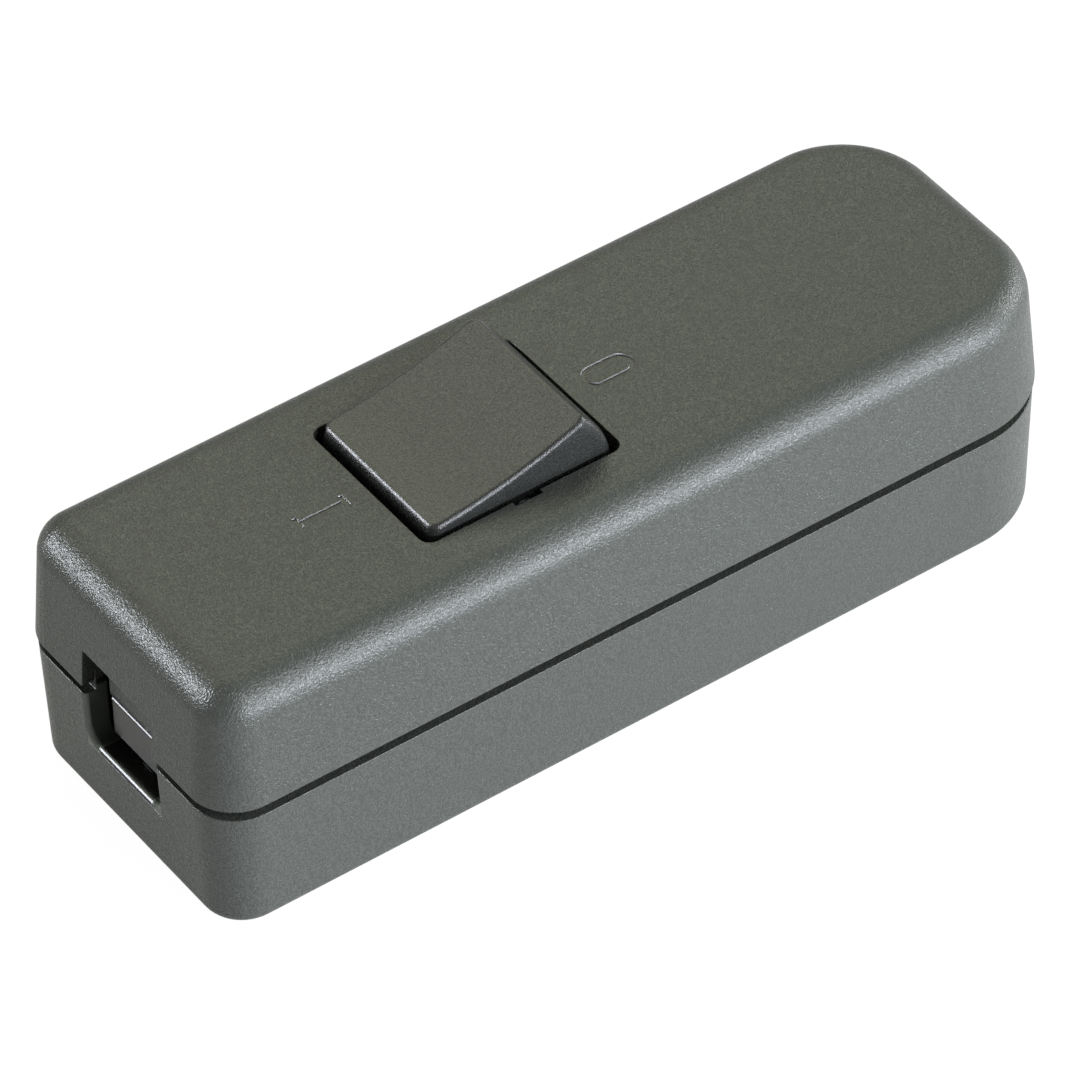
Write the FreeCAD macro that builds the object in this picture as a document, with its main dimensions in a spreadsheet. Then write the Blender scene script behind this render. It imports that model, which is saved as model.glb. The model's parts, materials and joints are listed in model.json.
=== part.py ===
import FreeCAD, Part
import math
import os

import Sketcher

# Inline cord switch with a two-pole rocker.
# Millimetres. +X runs along the housing to its rounded end, -Y is the front long side,
# +Z is up, and the underside lies on z = 0. The rocker rests with its I end pressed: on.

PARTS_FOLDER = "parts"
END_SIGNS = {"near": "-1", "far": "1"}
CUT_PAST = 1.0
V = FreeCAD.Vector

# Driving sizes: alias, value, what it is

SIZES = [
    ("length", 80.0, "housing length at the parting line"),
    ("width", 27.8, "housing width at the parting line"),
    ("height", 23.1, "housing height"),
    ("parting_height", 11.9, "middle of the groove between the shells"),
    ("groove_gap", 1.05, "height of the groove between the shells"),
    ("base_step", 0.15, "how far the base stands back from the cover"),
    ("cover_draft", 4.4, "lean of the cover's walls, degrees"),
    ("base_draft", 2.0, "lean of the base's walls, degrees"),
    ("near_corner", 4.0, "plan corner radius of the square end"),
    ("far_corner", 9.0, "plan corner radius of the rounded end"),
    ("top_round", 2.9, "round along the top edges"),
    ("bottom_round", 1.0, "round along the bottom edges"),
    ("wall", 2.2, "side wall at the parting line"),
    ("floor", 2.2, "floor of the base"),
    ("roof", 2.0, "roof of the cover"),
    ("lip_thickness", 1.0, "lip of the base that enters the cover"),
    ("lip_height", 2.0, "lip above the base's rim"),
    ("lip_play", 0.1, "between the lip and the cover's skirt"),
    ("entry_width", 9.4, "cord entry width"),
    ("entry_bottom", 6.6, "cord entry sill above the underside"),
    ("entry_top", 16.0, "cord entry lintel above the underside"),
    ("entry_corner", 1.3, "lower corners of the cord entry"),
    ("entry_round", 0.45, "rounded sill edge of the cord entry"),
    ("tab_width", 6.2, "break-out tab in the cord entry"),
    ("tab_drop", 3.3, "break-out tab below the base's rim"),
    ("tab_rise", 3.2, "break-out tab above the cover's rim"),
    ("tab_setback", 1.45, "break-out tab behind the end face"),
    ("tab_thickness", 1.2, "break-out tab thickness"),
    ("tab_split", 0.3, "between the two break-out tabs"),
    ("web_thickness", 1.2, "web that carries a break-out tab"),
    ("web_depth", 2.4, "web behind the tab"),
    ("web_gap", 0.4, "between a web and the other shell"),
    ("tab_round", 0.25, "rounded edges of the base's break-out tab"),
    ("sink", 0.2, "how far a rib or web runs into what carries it"),
    ("seat_inset", 0.5, "seat shorter than its terminal block, each end"),
    ("earth_seat_inset", 1.0, "seat shorter than the through connector, each end"),
    ("seat_rise", 3.0, "ribs above the seat of a brass block"),
    ("strip_root", 0.5, "how far a strip runs into its block"),
    ("rocker_place", -7.9, "rocker pivot along the housing"),
    ("pivot_depth", 2.0, "rocker pivot below the cover's top"),
    ("opening_length", 18.1, "rocker opening along the housing"),
    ("opening_side_gap", 0.45, "between the rocker's sides and its opening"),
    ("opening_corner", 1.0, "corners of the rocker opening"),
    ("collar_wall", 2.0, "collar round the rocker opening"),
    ("collar_depth", 3.1, "collar below the roof"),
    ("lead_in", 0.45, "depth of the grooves that lead the pins in"),
    ("rocker_radius", 8.5, "rocker's end faces about its pivot"),
    ("rocker_rise", 4.6, "rocker's top corners above its pivot"),
    ("rocker_dish", 0.55, "dish of the rocker's top"),
    ("rocker_width", 14.6, "rocker width"),
    ("rocker_skirt", 1.6, "rocker's skirt below its pivot"),
    ("rocker_wall", 1.3, "rocker's side walls"),
    ("rocker_roof", 1.8, "rocker's top at its thinnest"),
    ("rocker_edge", 0.35, "rounded edges of the rocker"),
    ("rocker_corner", 0.8, "plan corners of the rocker"),
    ("rocker_tilt", 13.8, "rocker's lean each way, degrees"),
    ("pin_radius", 1.2, "rocker pivot pins"),
    ("pin_length", 1.6, "pivot pins beyond the rocker's sides"),
    ("running_play", 0.05, "radial play of a running fit"),
    ("end_play", 0.25, "play at the end of a pin"),
    ("pole_spacing", 7.2, "between the two poles"),
    ("stem_radius", 2.2, "rocker's spring stems"),
    ("stem_reach", 6.2, "stems below the pivot"),
    ("stem_bore_rise", 1.2, "top of the stem bore above the pivot"),
    ("plunger_radius", 1.4, "plunger"),
    ("plunger_reach", 9.0, "plunger tip below the pivot"),
    ("plunger_length", 4.8, "plunger from top to tip"),
    ("spring_radius", 1.05, "middle of the spring wire"),
    ("spring_wire", 0.15, "spring wire radius"),
    ("spring_turns", 6.0, "turns of the spring"),
    ("seat_play", 0.05, "between a piece and its seat"),
    ("tip_play", 0.15, "plunger tip above the contact bridge at mid travel"),
    ("bridge_thickness", 0.8, "contact bridge strip, and its pin's radius"),
    ("bridge_width", 3.4, "contact bridge width"),
    ("bridge_arm", 8.5, "contact bridge from its pin to each end"),
    ("cradle_half", 3.2, "sloping middle of the contact bridge, each way"),
    ("cradle_rise", 0.45, "rise of the sloping middle"),
    ("bridge_throw", 14.0, "contact bridge travel, degrees"),
    ("contact_radius", 1.4, "contact heads"),
    ("contact_height", 0.8, "contact heads' height"),
    ("contact_stem", 0.7, "contact rivet stems"),
    ("contact_place", 7.0, "moving contact from the bridge's pin"),
    ("contact_gap", 0.1, "between closed contacts"),
    ("ear_thickness", 0.9, "ears that carry the contact bridge"),
    ("ear_length", 3.2, "ears along the housing"),
    ("ear_play", 0.2, "between the bridge and its ears"),
    ("ear_rise", 1.6, "ears above the bridge's pin"),
    ("block_length", 8.0, "terminal block length"),
    ("block_width", 5.0, "terminal block width"),
    ("block_bottom", 4.2, "terminal block above the underside"),
    ("block_seat_wall", 0.9, "ribs beside a terminal block"),
    ("stop_play", 0.2, "raised bridge arm above the terminal block"),
    ("strip_thickness", 1.0, "brass strips"),
    ("strip_drop", 2.0, "strip below the terminal block's top"),
    ("ear_gap", 4.4, "terminal block to the ears"),
    ("fixed_gap", 4.6, "fixed contact to its terminal block"),
    ("wire_hole", 1.4, "wire hole radius in a terminal block"),
    ("wire_hole_depth", 5.6, "wire hole depth"),
    ("screw_place", 3.3, "terminal screw from the wire end of its block"),
    ("hold_rib", 0.9, "cover ribs that hold the terminals down"),
    ("hold_inset", 0.1, "hold-down rib from the wire end of a block"),
    ("hold_width", 3.6, "hold-down rib across a block"),
    ("terminal_screw", 1.3, "terminal screw shank radius"),
    ("terminal_head", 1.9, "terminal screw head radius"),
    ("head_height", 1.5, "screw heads' height"),
    ("slot_width", 0.6, "screw slot width"),
    ("slot_depth", 0.8, "screw slot depth"),
    ("barrier", 1.0, "wall between the poles"),
    ("barrier_top", 12.8, "top of the wall between the poles"),
    ("earth_length", 11.0, "through connector length"),
    ("earth_width", 6.0, "through connector width"),
    ("earth_height", 6.0, "through connector height"),
    ("earth_spacing", 6.0, "between the through connector's screws"),
    ("clamp_inset", 8.0, "cord clamps from the housing's ends"),
    ("clamp_side_gap", 4.4, "clamp bar's ends from the housing's sides"),
    ("clamp_width", 4.2, "clamp bar along the housing"),
    ("clamp_thickness", 2.4, "clamp bar thickness"),
    ("clamp_end_round", 1.4, "rounded ends of a clamp bar"),
    ("clamp_seat", 8.4, "clamp pillars above the underside"),
    ("clamp_screw_inset", 6.7, "clamp screws from the housing's sides"),
    ("clamp_pillar", 2.4, "clamp pillar radius"),
    ("clamp_screw", 1.4, "clamp screw shank radius"),
    ("clamp_head", 2.1, "clamp screw head radius"),
    ("clamp_screw_length", 7.0, "clamp screw shank length"),
    ("saddle_top", 4.0, "cord saddle above the underside"),
    ("tooth", 0.5, "grip tooth on the clamp bar and saddle"),
    ("housing_screw", 1.45, "housing screw shank radius"),
    ("housing_screw_length", 15.5, "housing screw shank length"),
    ("housing_head", 2.7, "housing screw head radius"),
    ("housing_head_recess", 0.5, "housing screw head below the underside"),
    ("head_play", 0.25, "round a screw head"),
    ("pillar_radius", 3.7, "housing screw pillars in the base"),
    ("boss_radius", 3.0, "housing screw bosses in the cover"),
    ("screw_inset", 14.0, "housing screws from the housing's ends"),
    ("screw_side_inset", 5.5, "housing screws from the housing's sides"),
    ("pilot_margin", 1.5, "pilot hole beyond the housing screw's tip"),
    ("screw_clearance", 0.2, "round a screw where it passes freely"),
    ("rivet_play", 0.02, "round a contact rivet"),
    ("panel_length", 34.0, "shallow panel in the underside, along"),
    ("panel_width", 11.0, "shallow panel in the underside, across"),
    ("panel_depth", 0.3, "shallow panel in the underside"),
    ("panel_corner", 1.2, "corners of the shallow panel"),
    ("mark_depth", 0.15, "engraved marks"),
    ("mark_line", 0.36, "line width of the marks"),
    ("mark_length", 4.5, "length of the marks"),
    ("mark_width", 2.35, "width of the 0"),
    ("mark_serif", 1.3, "width of the I"),
    ("off_mark_gap", 4.0, "rocker opening to the middle of the 0"),
    ("on_mark_gap", 4.1, "rocker opening to the middle of the I"),
]

# Places that follow from the driving sizes, as expressions of the sheet

HALF_LENGTH = "Sizes.length / 2"
HALF_WIDTH = "Sizes.width / 2"
BASE_TOP = "Sizes.parting_height - Sizes.groove_gap / 2"
COVER_BOTTOM = "Sizes.parting_height + Sizes.groove_gap / 2"
LIP_TOP = f"{BASE_TOP} + Sizes.lip_height"
ROOF_BOTTOM = "Sizes.height - Sizes.roof"
PIVOT_Z = "Sizes.height - Sizes.pivot_depth"
POLE = "Sizes.pole_spacing / 2"
HALF_THROW = "Sizes.bridge_throw / 2"
BRIDGE_Z = f"{PIVOT_Z} - Sizes.plunger_reach - Sizes.tip_play - Sizes.bridge_thickness"
ARM_LOW = f"{BRIDGE_Z} + Sizes.cradle_rise * cos({HALF_THROW}) - Sizes.bridge_arm * sin({HALF_THROW})"
BLOCK_TOP = f"{ARM_LOW} - Sizes.stop_play"
CONTACT_FACE = "(Sizes.cradle_rise - Sizes.contact_height)"
CONTACT_X = f"Sizes.contact_place * cos({HALF_THROW}) + {CONTACT_FACE} * sin({HALF_THROW})"
CONTACT_Z = f"{BRIDGE_Z} + {CONTACT_FACE} * cos({HALF_THROW}) - Sizes.contact_place * sin({HALF_THROW})"
FIXED_FACE = f"{CONTACT_Z} - Sizes.contact_radius * sin({HALF_THROW}) - Sizes.contact_gap"
FIXED_TOP = f"{FIXED_FACE} - Sizes.contact_height"
EAR_INNER = "(Sizes.bridge_width / 2 + Sizes.ear_play)"
EAR_OUTER = f"({EAR_INNER} + Sizes.ear_thickness)"
CENTRE_BLOCK_END = "-Sizes.ear_length / 2 - Sizes.ear_gap"
FIXED_BLOCK_START = f"{CONTACT_X} + Sizes.fixed_gap"
CAVITY_END = f"({HALF_LENGTH} - Sizes.wall)"
OPENING_HALF = "Sizes.opening_length / 2"
OPENING_SIDE = "(Sizes.rocker_width / 2 + Sizes.opening_side_gap)"
CLAMP_X = f"({HALF_LENGTH} - Sizes.clamp_inset)"
CLAMP_Y = f"({HALF_WIDTH} - Sizes.clamp_screw_inset)"
CLAMP_HALF = f"({HALF_WIDTH} - Sizes.clamp_side_gap)"
SCREW_X = f"({HALF_LENGTH} - Sizes.screw_inset)"
SCREW_Y = f"({HALF_WIDTH} - Sizes.screw_side_inset)"
EARTH_X = (f"(Sizes.rocker_place + {FIXED_BLOCK_START} + Sizes.block_length"
           f" + {CLAMP_X} - Sizes.clamp_width / 2) / 2")
ON_MARK = f"Sizes.rocker_place - {OPENING_HALF} - Sizes.on_mark_gap"
OFF_MARK = f"Sizes.rocker_place + {OPENING_HALF} + Sizes.off_mark_gap"

document = FreeCAD.newDocument("cord_switch")
sheet = document.addObject("Spreadsheet::Sheet", "Sizes")
for row, (alias, value, meaning) in enumerate(SIZES, start=1):
    sheet.set(f"A{row}", str(value))
    sheet.set(f"B{row}", meaning)
    sheet.setAlias(f"A{row}", alias)
document.recompute()


def number(expression):
    """What an expression of the sheet comes to."""
    return float(sheet.evalExpression(str(expression)))


def bind(feature, **expressions):
    """Bind properties of a feature to expressions of the sheet."""
    for name, expression in expressions.items():
        feature.setExpression(name, str(expression))


def place(feature, x="0", y="0", z="0"):
    """Bind where a feature or a piece stands."""
    for axis, expression in (("x", x), ("y", y), ("z", z)):
        feature.setExpression(f"Placement.Base.{axis}", str(expression))


class Piece:
    """One piece of the switch: a body and the features that make it."""

    def __init__(self, name):
        self.name = name
        self.body = document.addObject("PartDesign::Body", name)
        self.body.Label = name

    def plane(self, role):
        """One of the body's own origin planes."""
        return next(item for item in self.body.Origin.OriginFeatures if item.Role == role)

    def feature(self, kind, name):
        """A new feature of this body."""
        return self.body.newObject(f"PartDesign::{kind}", f"{self.name}_{name}")

    def box(self, name, x, y, z, cut=False):
        """A block between two places along each axis, added or cut away."""
        block = self.feature("SubtractiveBox" if cut else "AdditiveBox", name)
        bind(block, Length=f"({x[1]}) - ({x[0]})", Width=f"({y[1]}) - ({y[0]})", Height=f"({z[1]}) - ({z[0]})")
        place(block, x[0], y[0], z[0])
        document.recompute([block])
        return block

    def cylinder(self, name, radius, length, x="0", y="0", z="0", along="Z", cut=False):
        """A round bar or hole that starts at a place and runs along one axis."""
        bar = self.feature("SubtractiveCylinder" if cut else "AdditiveCylinder", name)
        turn = {"X": (V(0, 1, 0), 90), "Y": (V(1, 0, 0), -90), "Z": (V(0, 0, 1), 0), "-Z": (V(1, 0, 0), 180)}
        bar.Placement.Rotation = FreeCAD.Rotation(*turn[along])
        bind(bar, Radius=radius, Height=length)
        place(bar, x, y, z)
        document.recompute([bar])
        return bar

    def sketch(self, name, role="XY_Plane", height=None):
        """An empty sketch on one of the body's planes, raised where a height is given."""
        drawing = self.body.newObject("Sketcher::SketchObject", f"{self.name}_{name}")
        drawing.AttachmentSupport = [(self.plane(role), "")]
        drawing.MapMode = "FlatFace"
        if height is not None:
            drawing.setExpression("AttachmentOffset.Base.z", str(height))
        return drawing

    def pad(self, name, profile, length, cut=False, draft=None, midplane=False, reverse=False):
        """A sketch pushed out into the body, or cut into it."""
        block = self.feature("Pocket" if cut else "Pad", name)
        block.Profile = profile
        block.Reversed = reverse
        block.Midplane = midplane
        bind(block, Length=length)
        if draft is not None:
            bind(block, TaperAngle=draft)
        document.recompute([profile, block])
        return block

    def round(self, name, radius, chosen):
        """Round the edges of the body that the test chooses."""
        base = self.body.Tip
        edges = [f"Edge{n}" for n, edge in enumerate(base.Shape.Edges, start=1) if chosen(edge)]
        fillet = self.feature("Fillet", name)
        fillet.Base = (base, edges)
        bind(fillet, Radius=radius)
        document.recompute([fillet])
        return fillet


def hold(drawing, geometry, end, x, y):
    """Hold one point of a sketch at a place given by two expressions."""
    for kind, expression in (("DistanceX", x), ("DistanceY", y)):
        index = drawing.addConstraint(Sketcher.Constraint(kind, -1, 1, geometry, end, number(expression)))
        drawing.setExpression(f"Constraints[{index}]", str(expression))


def draw_polygon(drawing, points):
    """Draw a closed outline of straight lines through points given as expressions."""
    corners = [V(number(x), number(y), 0) for x, y in points]
    lines = [Part.LineSegment(a, b) for a, b in zip(corners, corners[1:] + corners[:1])]
    first = drawing.GeometryCount
    drawing.addGeometry(lines, False)
    count = len(points)
    for n in range(count):
        drawing.addConstraint(Sketcher.Constraint("Coincident", first + n, 2, first + (n + 1) % count, 1))
    for n, (x, y) in enumerate(points):
        hold(drawing, first + n, 1, x, y)


def arc(x, y, radius, start, end):
    """An arc about a centre, between two angles in quarter turns."""
    quarter = math.pi / 2
    return Part.ArcOfCircle(Part.Circle(V(x, y, 0), V(0, 0, 1), radius), start * quarter, end * quarter)


def draw_rounded(drawing, x, y, low_radius, high_radius):
    """Draw a rectangle whose corners have one radius at its low end and one at its high end."""
    x0, x1 = number(x[0]), number(x[1])
    y0, y1 = number(y[0]), number(y[1])
    low, high = number(low_radius), number(high_radius)
    first = drawing.GeometryCount
    drawing.addGeometry([
        Part.LineSegment(V(x0 + low, y0, 0), V(x1 - high, y0, 0)),
        arc(x1 - high, y0 + high, high, -1, 0),
        Part.LineSegment(V(x1, y0 + high, 0), V(x1, y1 - high, 0)),
        arc(x1 - high, y1 - high, high, 0, 1),
        Part.LineSegment(V(x1 - high, y1, 0), V(x0 + low, y1, 0)),
        arc(x0 + low, y1 - low, low, 1, 2),
        Part.LineSegment(V(x0, y1 - low, 0), V(x0, y0 + low, 0)),
        arc(x0 + low, y0 + low, low, 2, 3),
    ], False)
    for n in range(8):
        drawing.addConstraint(Sketcher.Constraint("Tangent", first + n, 2, first + (n + 1) % 8, 1))
    for n in (0, 4):
        drawing.addConstraint(Sketcher.Constraint("Horizontal", first + n))
    for n in (2, 6):
        drawing.addConstraint(Sketcher.Constraint("Vertical", first + n))
    sides = ((0, "DistanceY", y[0]), (2, "DistanceX", x[1]), (4, "DistanceY", y[1]), (6, "DistanceX", x[0]))
    for n, kind, expression in sides:
        index = drawing.addConstraint(Sketcher.Constraint(kind, -1, 1, first + n, 1, number(expression)))
        drawing.setExpression(f"Constraints[{index}]", str(expression))
    for n, expression in ((1, high_radius), (3, high_radius), (5, low_radius), (7, low_radius)):
        index = drawing.addConstraint(Sketcher.Constraint("Radius", first + n, number(expression)))
        drawing.setExpression(f"Constraints[{index}]", str(expression))


def draw_slot(drawing, x, half_length, half_width):
    """Draw a slot along X with round ends, centred on a place."""
    centre, length, width = number(x), number(half_length), number(half_width)
    first = drawing.GeometryCount
    drawing.addGeometry([
        Part.LineSegment(V(centre - length + width, -width, 0), V(centre + length - width, -width, 0)),
        arc(centre + length - width, 0, width, -1, 1),
        Part.LineSegment(V(centre + length - width, width, 0), V(centre - length + width, width, 0)),
        arc(centre - length + width, 0, width, 1, 3),
    ], False)
    for n in range(4):
        drawing.addConstraint(Sketcher.Constraint("Tangent", first + n, 2, first + (n + 1) % 4, 1))
    hold(drawing, first, 1, f"{x} - ({half_length}) + ({half_width})", f"-({half_width})")
    hold(drawing, first + 1, 3, f"{x} + ({half_length}) - ({half_width})", "0")
    drawing.addConstraint(Sketcher.Constraint("Horizontal", first))


def draw_outline(drawing, inset):
    """Draw the housing's plan, set in from the cover's widest line."""
    half_length = f"({HALF_LENGTH} - ({inset}))"
    half_width = f"({HALF_WIDTH} - ({inset}))"
    draw_rounded(drawing, (f"-{half_length}", half_length), (f"-{half_width}", half_width),
                 f"Sizes.near_corner - ({inset})", f"Sizes.far_corner - ({inset})")


def lies_at(edge, z, tolerance=1e-4):
    """Whether all of an edge's ends are at one height."""
    return all(abs(vertex.Point.z - z) < tolerance for vertex in edge.Vertexes)


def both(half):
    """The span from minus to plus a half size."""
    return (f"-({half})", half)


# Base shell

def make_base():
    """The tray that carries everything, with its lip, pillars, seats and cord entries."""
    base = Piece("base_shell")
    outline = base.sketch("outline", height=BASE_TOP)
    draw_outline(outline, "Sizes.base_step")
    base.pad("block", outline, BASE_TOP, draft="-Sizes.base_draft", reverse=True)
    base.round("bottom_round", "Sizes.bottom_round", lambda edge: lies_at(edge, 0.0))

    lip = base.sketch("lip", height=BASE_TOP)
    draw_outline(lip, "Sizes.wall - Sizes.lip_thickness")
    base.pad("lip_block", lip, "Sizes.lip_height")
    cavity = base.sketch("cavity", height=LIP_TOP)
    draw_outline(cavity, "Sizes.wall")
    base.pad("cavity_cut", cavity, f"{LIP_TOP} - Sizes.floor", cut=True)

    make_base_entries(base)
    make_base_clamps(base)
    make_base_seats(base)
    make_base_pillars(base)
    return base


def make_base_entries(base):
    """Cut the lower half of both cord entries and add their break-out tabs."""
    half = "Sizes.entry_width / 2"
    mouth = base.sketch("entries", role="YZ_Plane")
    top = f"{LIP_TOP} + Sizes.entry_corner"
    draw_rounded(mouth, both(half), ("Sizes.entry_bottom", top), "Sizes.entry_corner", "Sizes.entry_corner")
    base.pad("entry_cuts", mouth, "Sizes.length + Sizes.wall", cut=True, midplane=True)
    sill = number("Sizes.entry_bottom")
    end = number(f"{HALF_LENGTH} - Sizes.wall / 2")
    base.round("sill_round", "Sizes.entry_round",
               lambda edge: lies_at(edge, sill) and abs(edge.CenterOfMass.x) > end and edge.Length > 2)

    for side, sign in (("near", "-1"), ("far", "1")):
        face = f"({HALF_LENGTH} - Sizes.tab_setback)"
        back = f"({face} - Sizes.tab_thickness)"
        x = (f"-{face}", f"-{back}") if sign == "-1" else (back, face)
        rim = "Sizes.parting_height - Sizes.tab_split / 2"
        base.box(f"{side}_tab", x, both("Sizes.tab_width / 2"), (f"{BASE_TOP} - Sizes.tab_drop", rim))
        front = number(face)
        lowest, highest = number(f"{BASE_TOP} - Sizes.tab_drop"), number(rim)
        base.round(f"{side}_tab_round", "Sizes.tab_round", lambda edge: (
            abs(abs(edge.CenterOfMass.x) - front) < 1e-4 and math.copysign(1, edge.CenterOfMass.x) == float(sign)
            and edge.Length > 1 and lowest - 1e-4 < edge.CenterOfMass.z < highest + 1e-4))
        web_end = f"({back} - Sizes.web_depth)"
        x = (f"-{back} - Sizes.sink", f"-{web_end}") if sign == "-1" else (web_end, f"{back} + Sizes.sink")
        base.box(f"{side}_web", x, both("Sizes.web_thickness / 2"),
                 ("Sizes.floor - Sizes.sink", f"{BASE_TOP} - Sizes.web_gap"))


def make_base_clamps(base):
    """Add the pillars and the toothed saddle under each clamp bar."""
    for side in ("near", "far"):
        centre = f"{END_SIGNS[side]} * {CLAMP_X}"
        for row, sign in (("front", "-1"), ("rear", "1")):
            y = f"{sign} * {CLAMP_Y}"
            base.cylinder(f"{side}_{row}_clamp_pillar", "Sizes.clamp_pillar",
                          "Sizes.clamp_seat - Sizes.floor", x=centre, y=y, z="Sizes.floor")
            base.cylinder(f"{side}_{row}_clamp_hole", "Sizes.clamp_screw + Sizes.running_play",
                          "Sizes.clamp_screw_length", x=centre, y=y,
                          z="Sizes.clamp_seat + Sizes.clamp_thickness - Sizes.clamp_screw_length", cut=True)
        half = "Sizes.entry_width / 2"
        base.box(f"{side}_saddle", (f"{centre} - Sizes.clamp_width / 2", f"{centre} + Sizes.clamp_width / 2"),
                 both(half), ("Sizes.floor", "Sizes.saddle_top"))
        base.box(f"{side}_tooth", (f"{centre} - Sizes.tooth / 2", f"{centre} + Sizes.tooth / 2"),
                 both(half), ("Sizes.floor", "Sizes.saddle_top + Sizes.tooth"))


def make_base_seats(base):
    """Add the wall between the poles and the seats of the brass pieces."""
    centre = "Sizes.rocker_place"
    start = f"{centre} + ({CENTRE_BLOCK_END}) - Sizes.block_length"
    finish = f"{centre} + {FIXED_BLOCK_START} + Sizes.block_length"
    base.box("pole_barrier", (start, finish), both("Sizes.barrier / 2"), ("Sizes.floor", "Sizes.barrier_top"))
    blocks = (("centre", start, f"{start} + Sizes.block_length"),
              ("fixed", f"{finish} - Sizes.block_length", finish))
    columns = (("ear", f"{centre} - Sizes.ear_length / 2", f"{centre} + Sizes.ear_length / 2",
                f"{BLOCK_TOP} - Sizes.strip_drop - Sizes.strip_thickness"),
               ("contact", f"{centre} + {CONTACT_X} - Sizes.contact_radius",
                f"{centre} + {CONTACT_X} + Sizes.contact_radius", f"{FIXED_TOP} - Sizes.strip_thickness"))
    for row, sign in (("front", "-1"), ("rear", "1")):
        pole = f"({sign} * {POLE})"
        width = (f"{pole} - Sizes.block_width / 2", f"{pole} + Sizes.block_width / 2")
        outer = f"({sign} * ({POLE} + Sizes.block_width / 2 + Sizes.seat_play))"
        rib = (outer, f"{outer} + Sizes.block_seat_wall")
        if sign == "-1":
            rib = (f"{outer} - Sizes.block_seat_wall", outer)
        for name, low, high in blocks:
            base.box(f"{row}_{name}_seat", (f"{low} + Sizes.seat_inset", f"{high} - Sizes.seat_inset"), width,
                     ("Sizes.floor", "Sizes.block_bottom"))
            base.box(f"{row}_{name}_rib", (low, high), rib,
                     ("Sizes.floor", "Sizes.block_bottom + Sizes.seat_rise"))
        for name, low, high, top in columns:
            base.box(f"{row}_{name}_column", (low, high), width, ("Sizes.floor", top))
    earth = (f"{EARTH_X} - Sizes.earth_length / 2 + Sizes.earth_seat_inset",
             f"{EARTH_X} + Sizes.earth_length / 2 - Sizes.earth_seat_inset")
    base.box("earth_seat", earth, both("Sizes.earth_width / 2"), ("Sizes.floor", "Sizes.block_bottom"))
    for row, sign in (("front", "-1"), ("rear", "1")):
        outer = f"({sign} * (Sizes.earth_width / 2 + Sizes.seat_play))"
        rib = (outer, f"{outer} + Sizes.block_seat_wall")
        if sign == "-1":
            rib = (f"{outer} - Sizes.block_seat_wall", outer)
        base.box(f"earth_{row}_rib", earth, rib, ("Sizes.floor", "Sizes.block_bottom + Sizes.seat_rise"))


def make_base_pillars(base):
    """Add the two pillars of the housing screws, with their counterbores."""
    for side, sign in (("near", "-1"), ("far", "1")):
        x = f"{sign} * {SCREW_X}"
        y = f"{sign} * {SCREW_Y}"
        base.cylinder(f"{side}_pillar", "Sizes.pillar_radius", f"{BASE_TOP} - Sizes.floor",
                      x=x, y=y, z="Sizes.floor")
        base.cylinder(f"{side}_screw_hole", "Sizes.housing_screw + Sizes.screw_clearance", BASE_TOP, x=x, y=y, cut=True)
        base.cylinder(f"{side}_counterbore", "Sizes.housing_head + Sizes.head_play",
                      "Sizes.housing_head_recess + Sizes.head_height", x=x, y=y, cut=True)
    panel = base.sketch("panel", height="0")
    draw_rounded(panel, both("Sizes.panel_length / 2"), both("Sizes.panel_width / 2"),
                 "Sizes.panel_corner", "Sizes.panel_corner")
    base.pad("panel_cut", panel, "Sizes.panel_depth", cut=True, reverse=True)


# Cover shell

def make_cover():
    """The hood with the rocker opening, its collar, the marks and the screw bosses."""
    cover = Piece("cover_shell")
    outline = cover.sketch("outline", height=COVER_BOTTOM)
    draw_outline(outline, "0")
    cover.pad("block", outline, f"Sizes.height - ({COVER_BOTTOM})", draft="-Sizes.cover_draft")
    top = number("Sizes.height")
    cover.round("top_round", "Sizes.top_round", lambda edge: lies_at(edge, top))

    cavity = cover.sketch("cavity", height=COVER_BOTTOM)
    draw_outline(cavity, "Sizes.wall")
    cover.pad("cavity_cut", cavity, f"{ROOF_BOTTOM} - ({COVER_BOTTOM})", cut=True, reverse=True)
    rebate = cover.sketch("rebate", height=COVER_BOTTOM)
    draw_outline(rebate, "Sizes.wall - Sizes.lip_thickness - Sizes.lip_play")
    cover.pad("rebate_cut", rebate, f"{LIP_TOP} - ({COVER_BOTTOM})", cut=True, reverse=True)

    make_cover_entries(cover)
    make_cover_bosses(cover)
    make_rocker_opening(cover)
    make_marks(cover)
    return cover


def make_cover_entries(cover):
    """Cut the upper half of both cord entries and add their break-out tabs."""
    half = both("Sizes.entry_width / 2")
    for side, sign in (("near", "-1"), ("far", "1")):
        outside = f"({HALF_LENGTH} + {CUT_PAST})"
        x = (f"-{outside}", f"-{CAVITY_END} + Sizes.sink") if sign == "-1" else (f"{CAVITY_END} - Sizes.sink", outside)
        cover.box(f"{side}_entry", x, half, (f"{COVER_BOTTOM} - {CUT_PAST}", "Sizes.entry_top"), cut=True)
        face = f"({HALF_LENGTH} - Sizes.tab_setback)"
        back = f"({face} - Sizes.tab_thickness)"
        x = (f"-{face}", f"-{back}") if sign == "-1" else (back, face)
        rim = "Sizes.parting_height + Sizes.tab_split / 2"
        web_end = f"({back} - Sizes.web_depth)"
        web = (f"-{back} - Sizes.sink", f"-{web_end}") if sign == "-1" else (web_end, f"{back} + Sizes.sink")
        cover.box(f"{side}_web", web, both("Sizes.web_thickness / 2"),
                  (f"{COVER_BOTTOM} + Sizes.web_gap", f"{ROOF_BOTTOM} + Sizes.sink"))
        cover.box(f"{side}_tab", x, both("Sizes.tab_width / 2"), (rim, f"{COVER_BOTTOM} + Sizes.tab_rise"))


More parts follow.
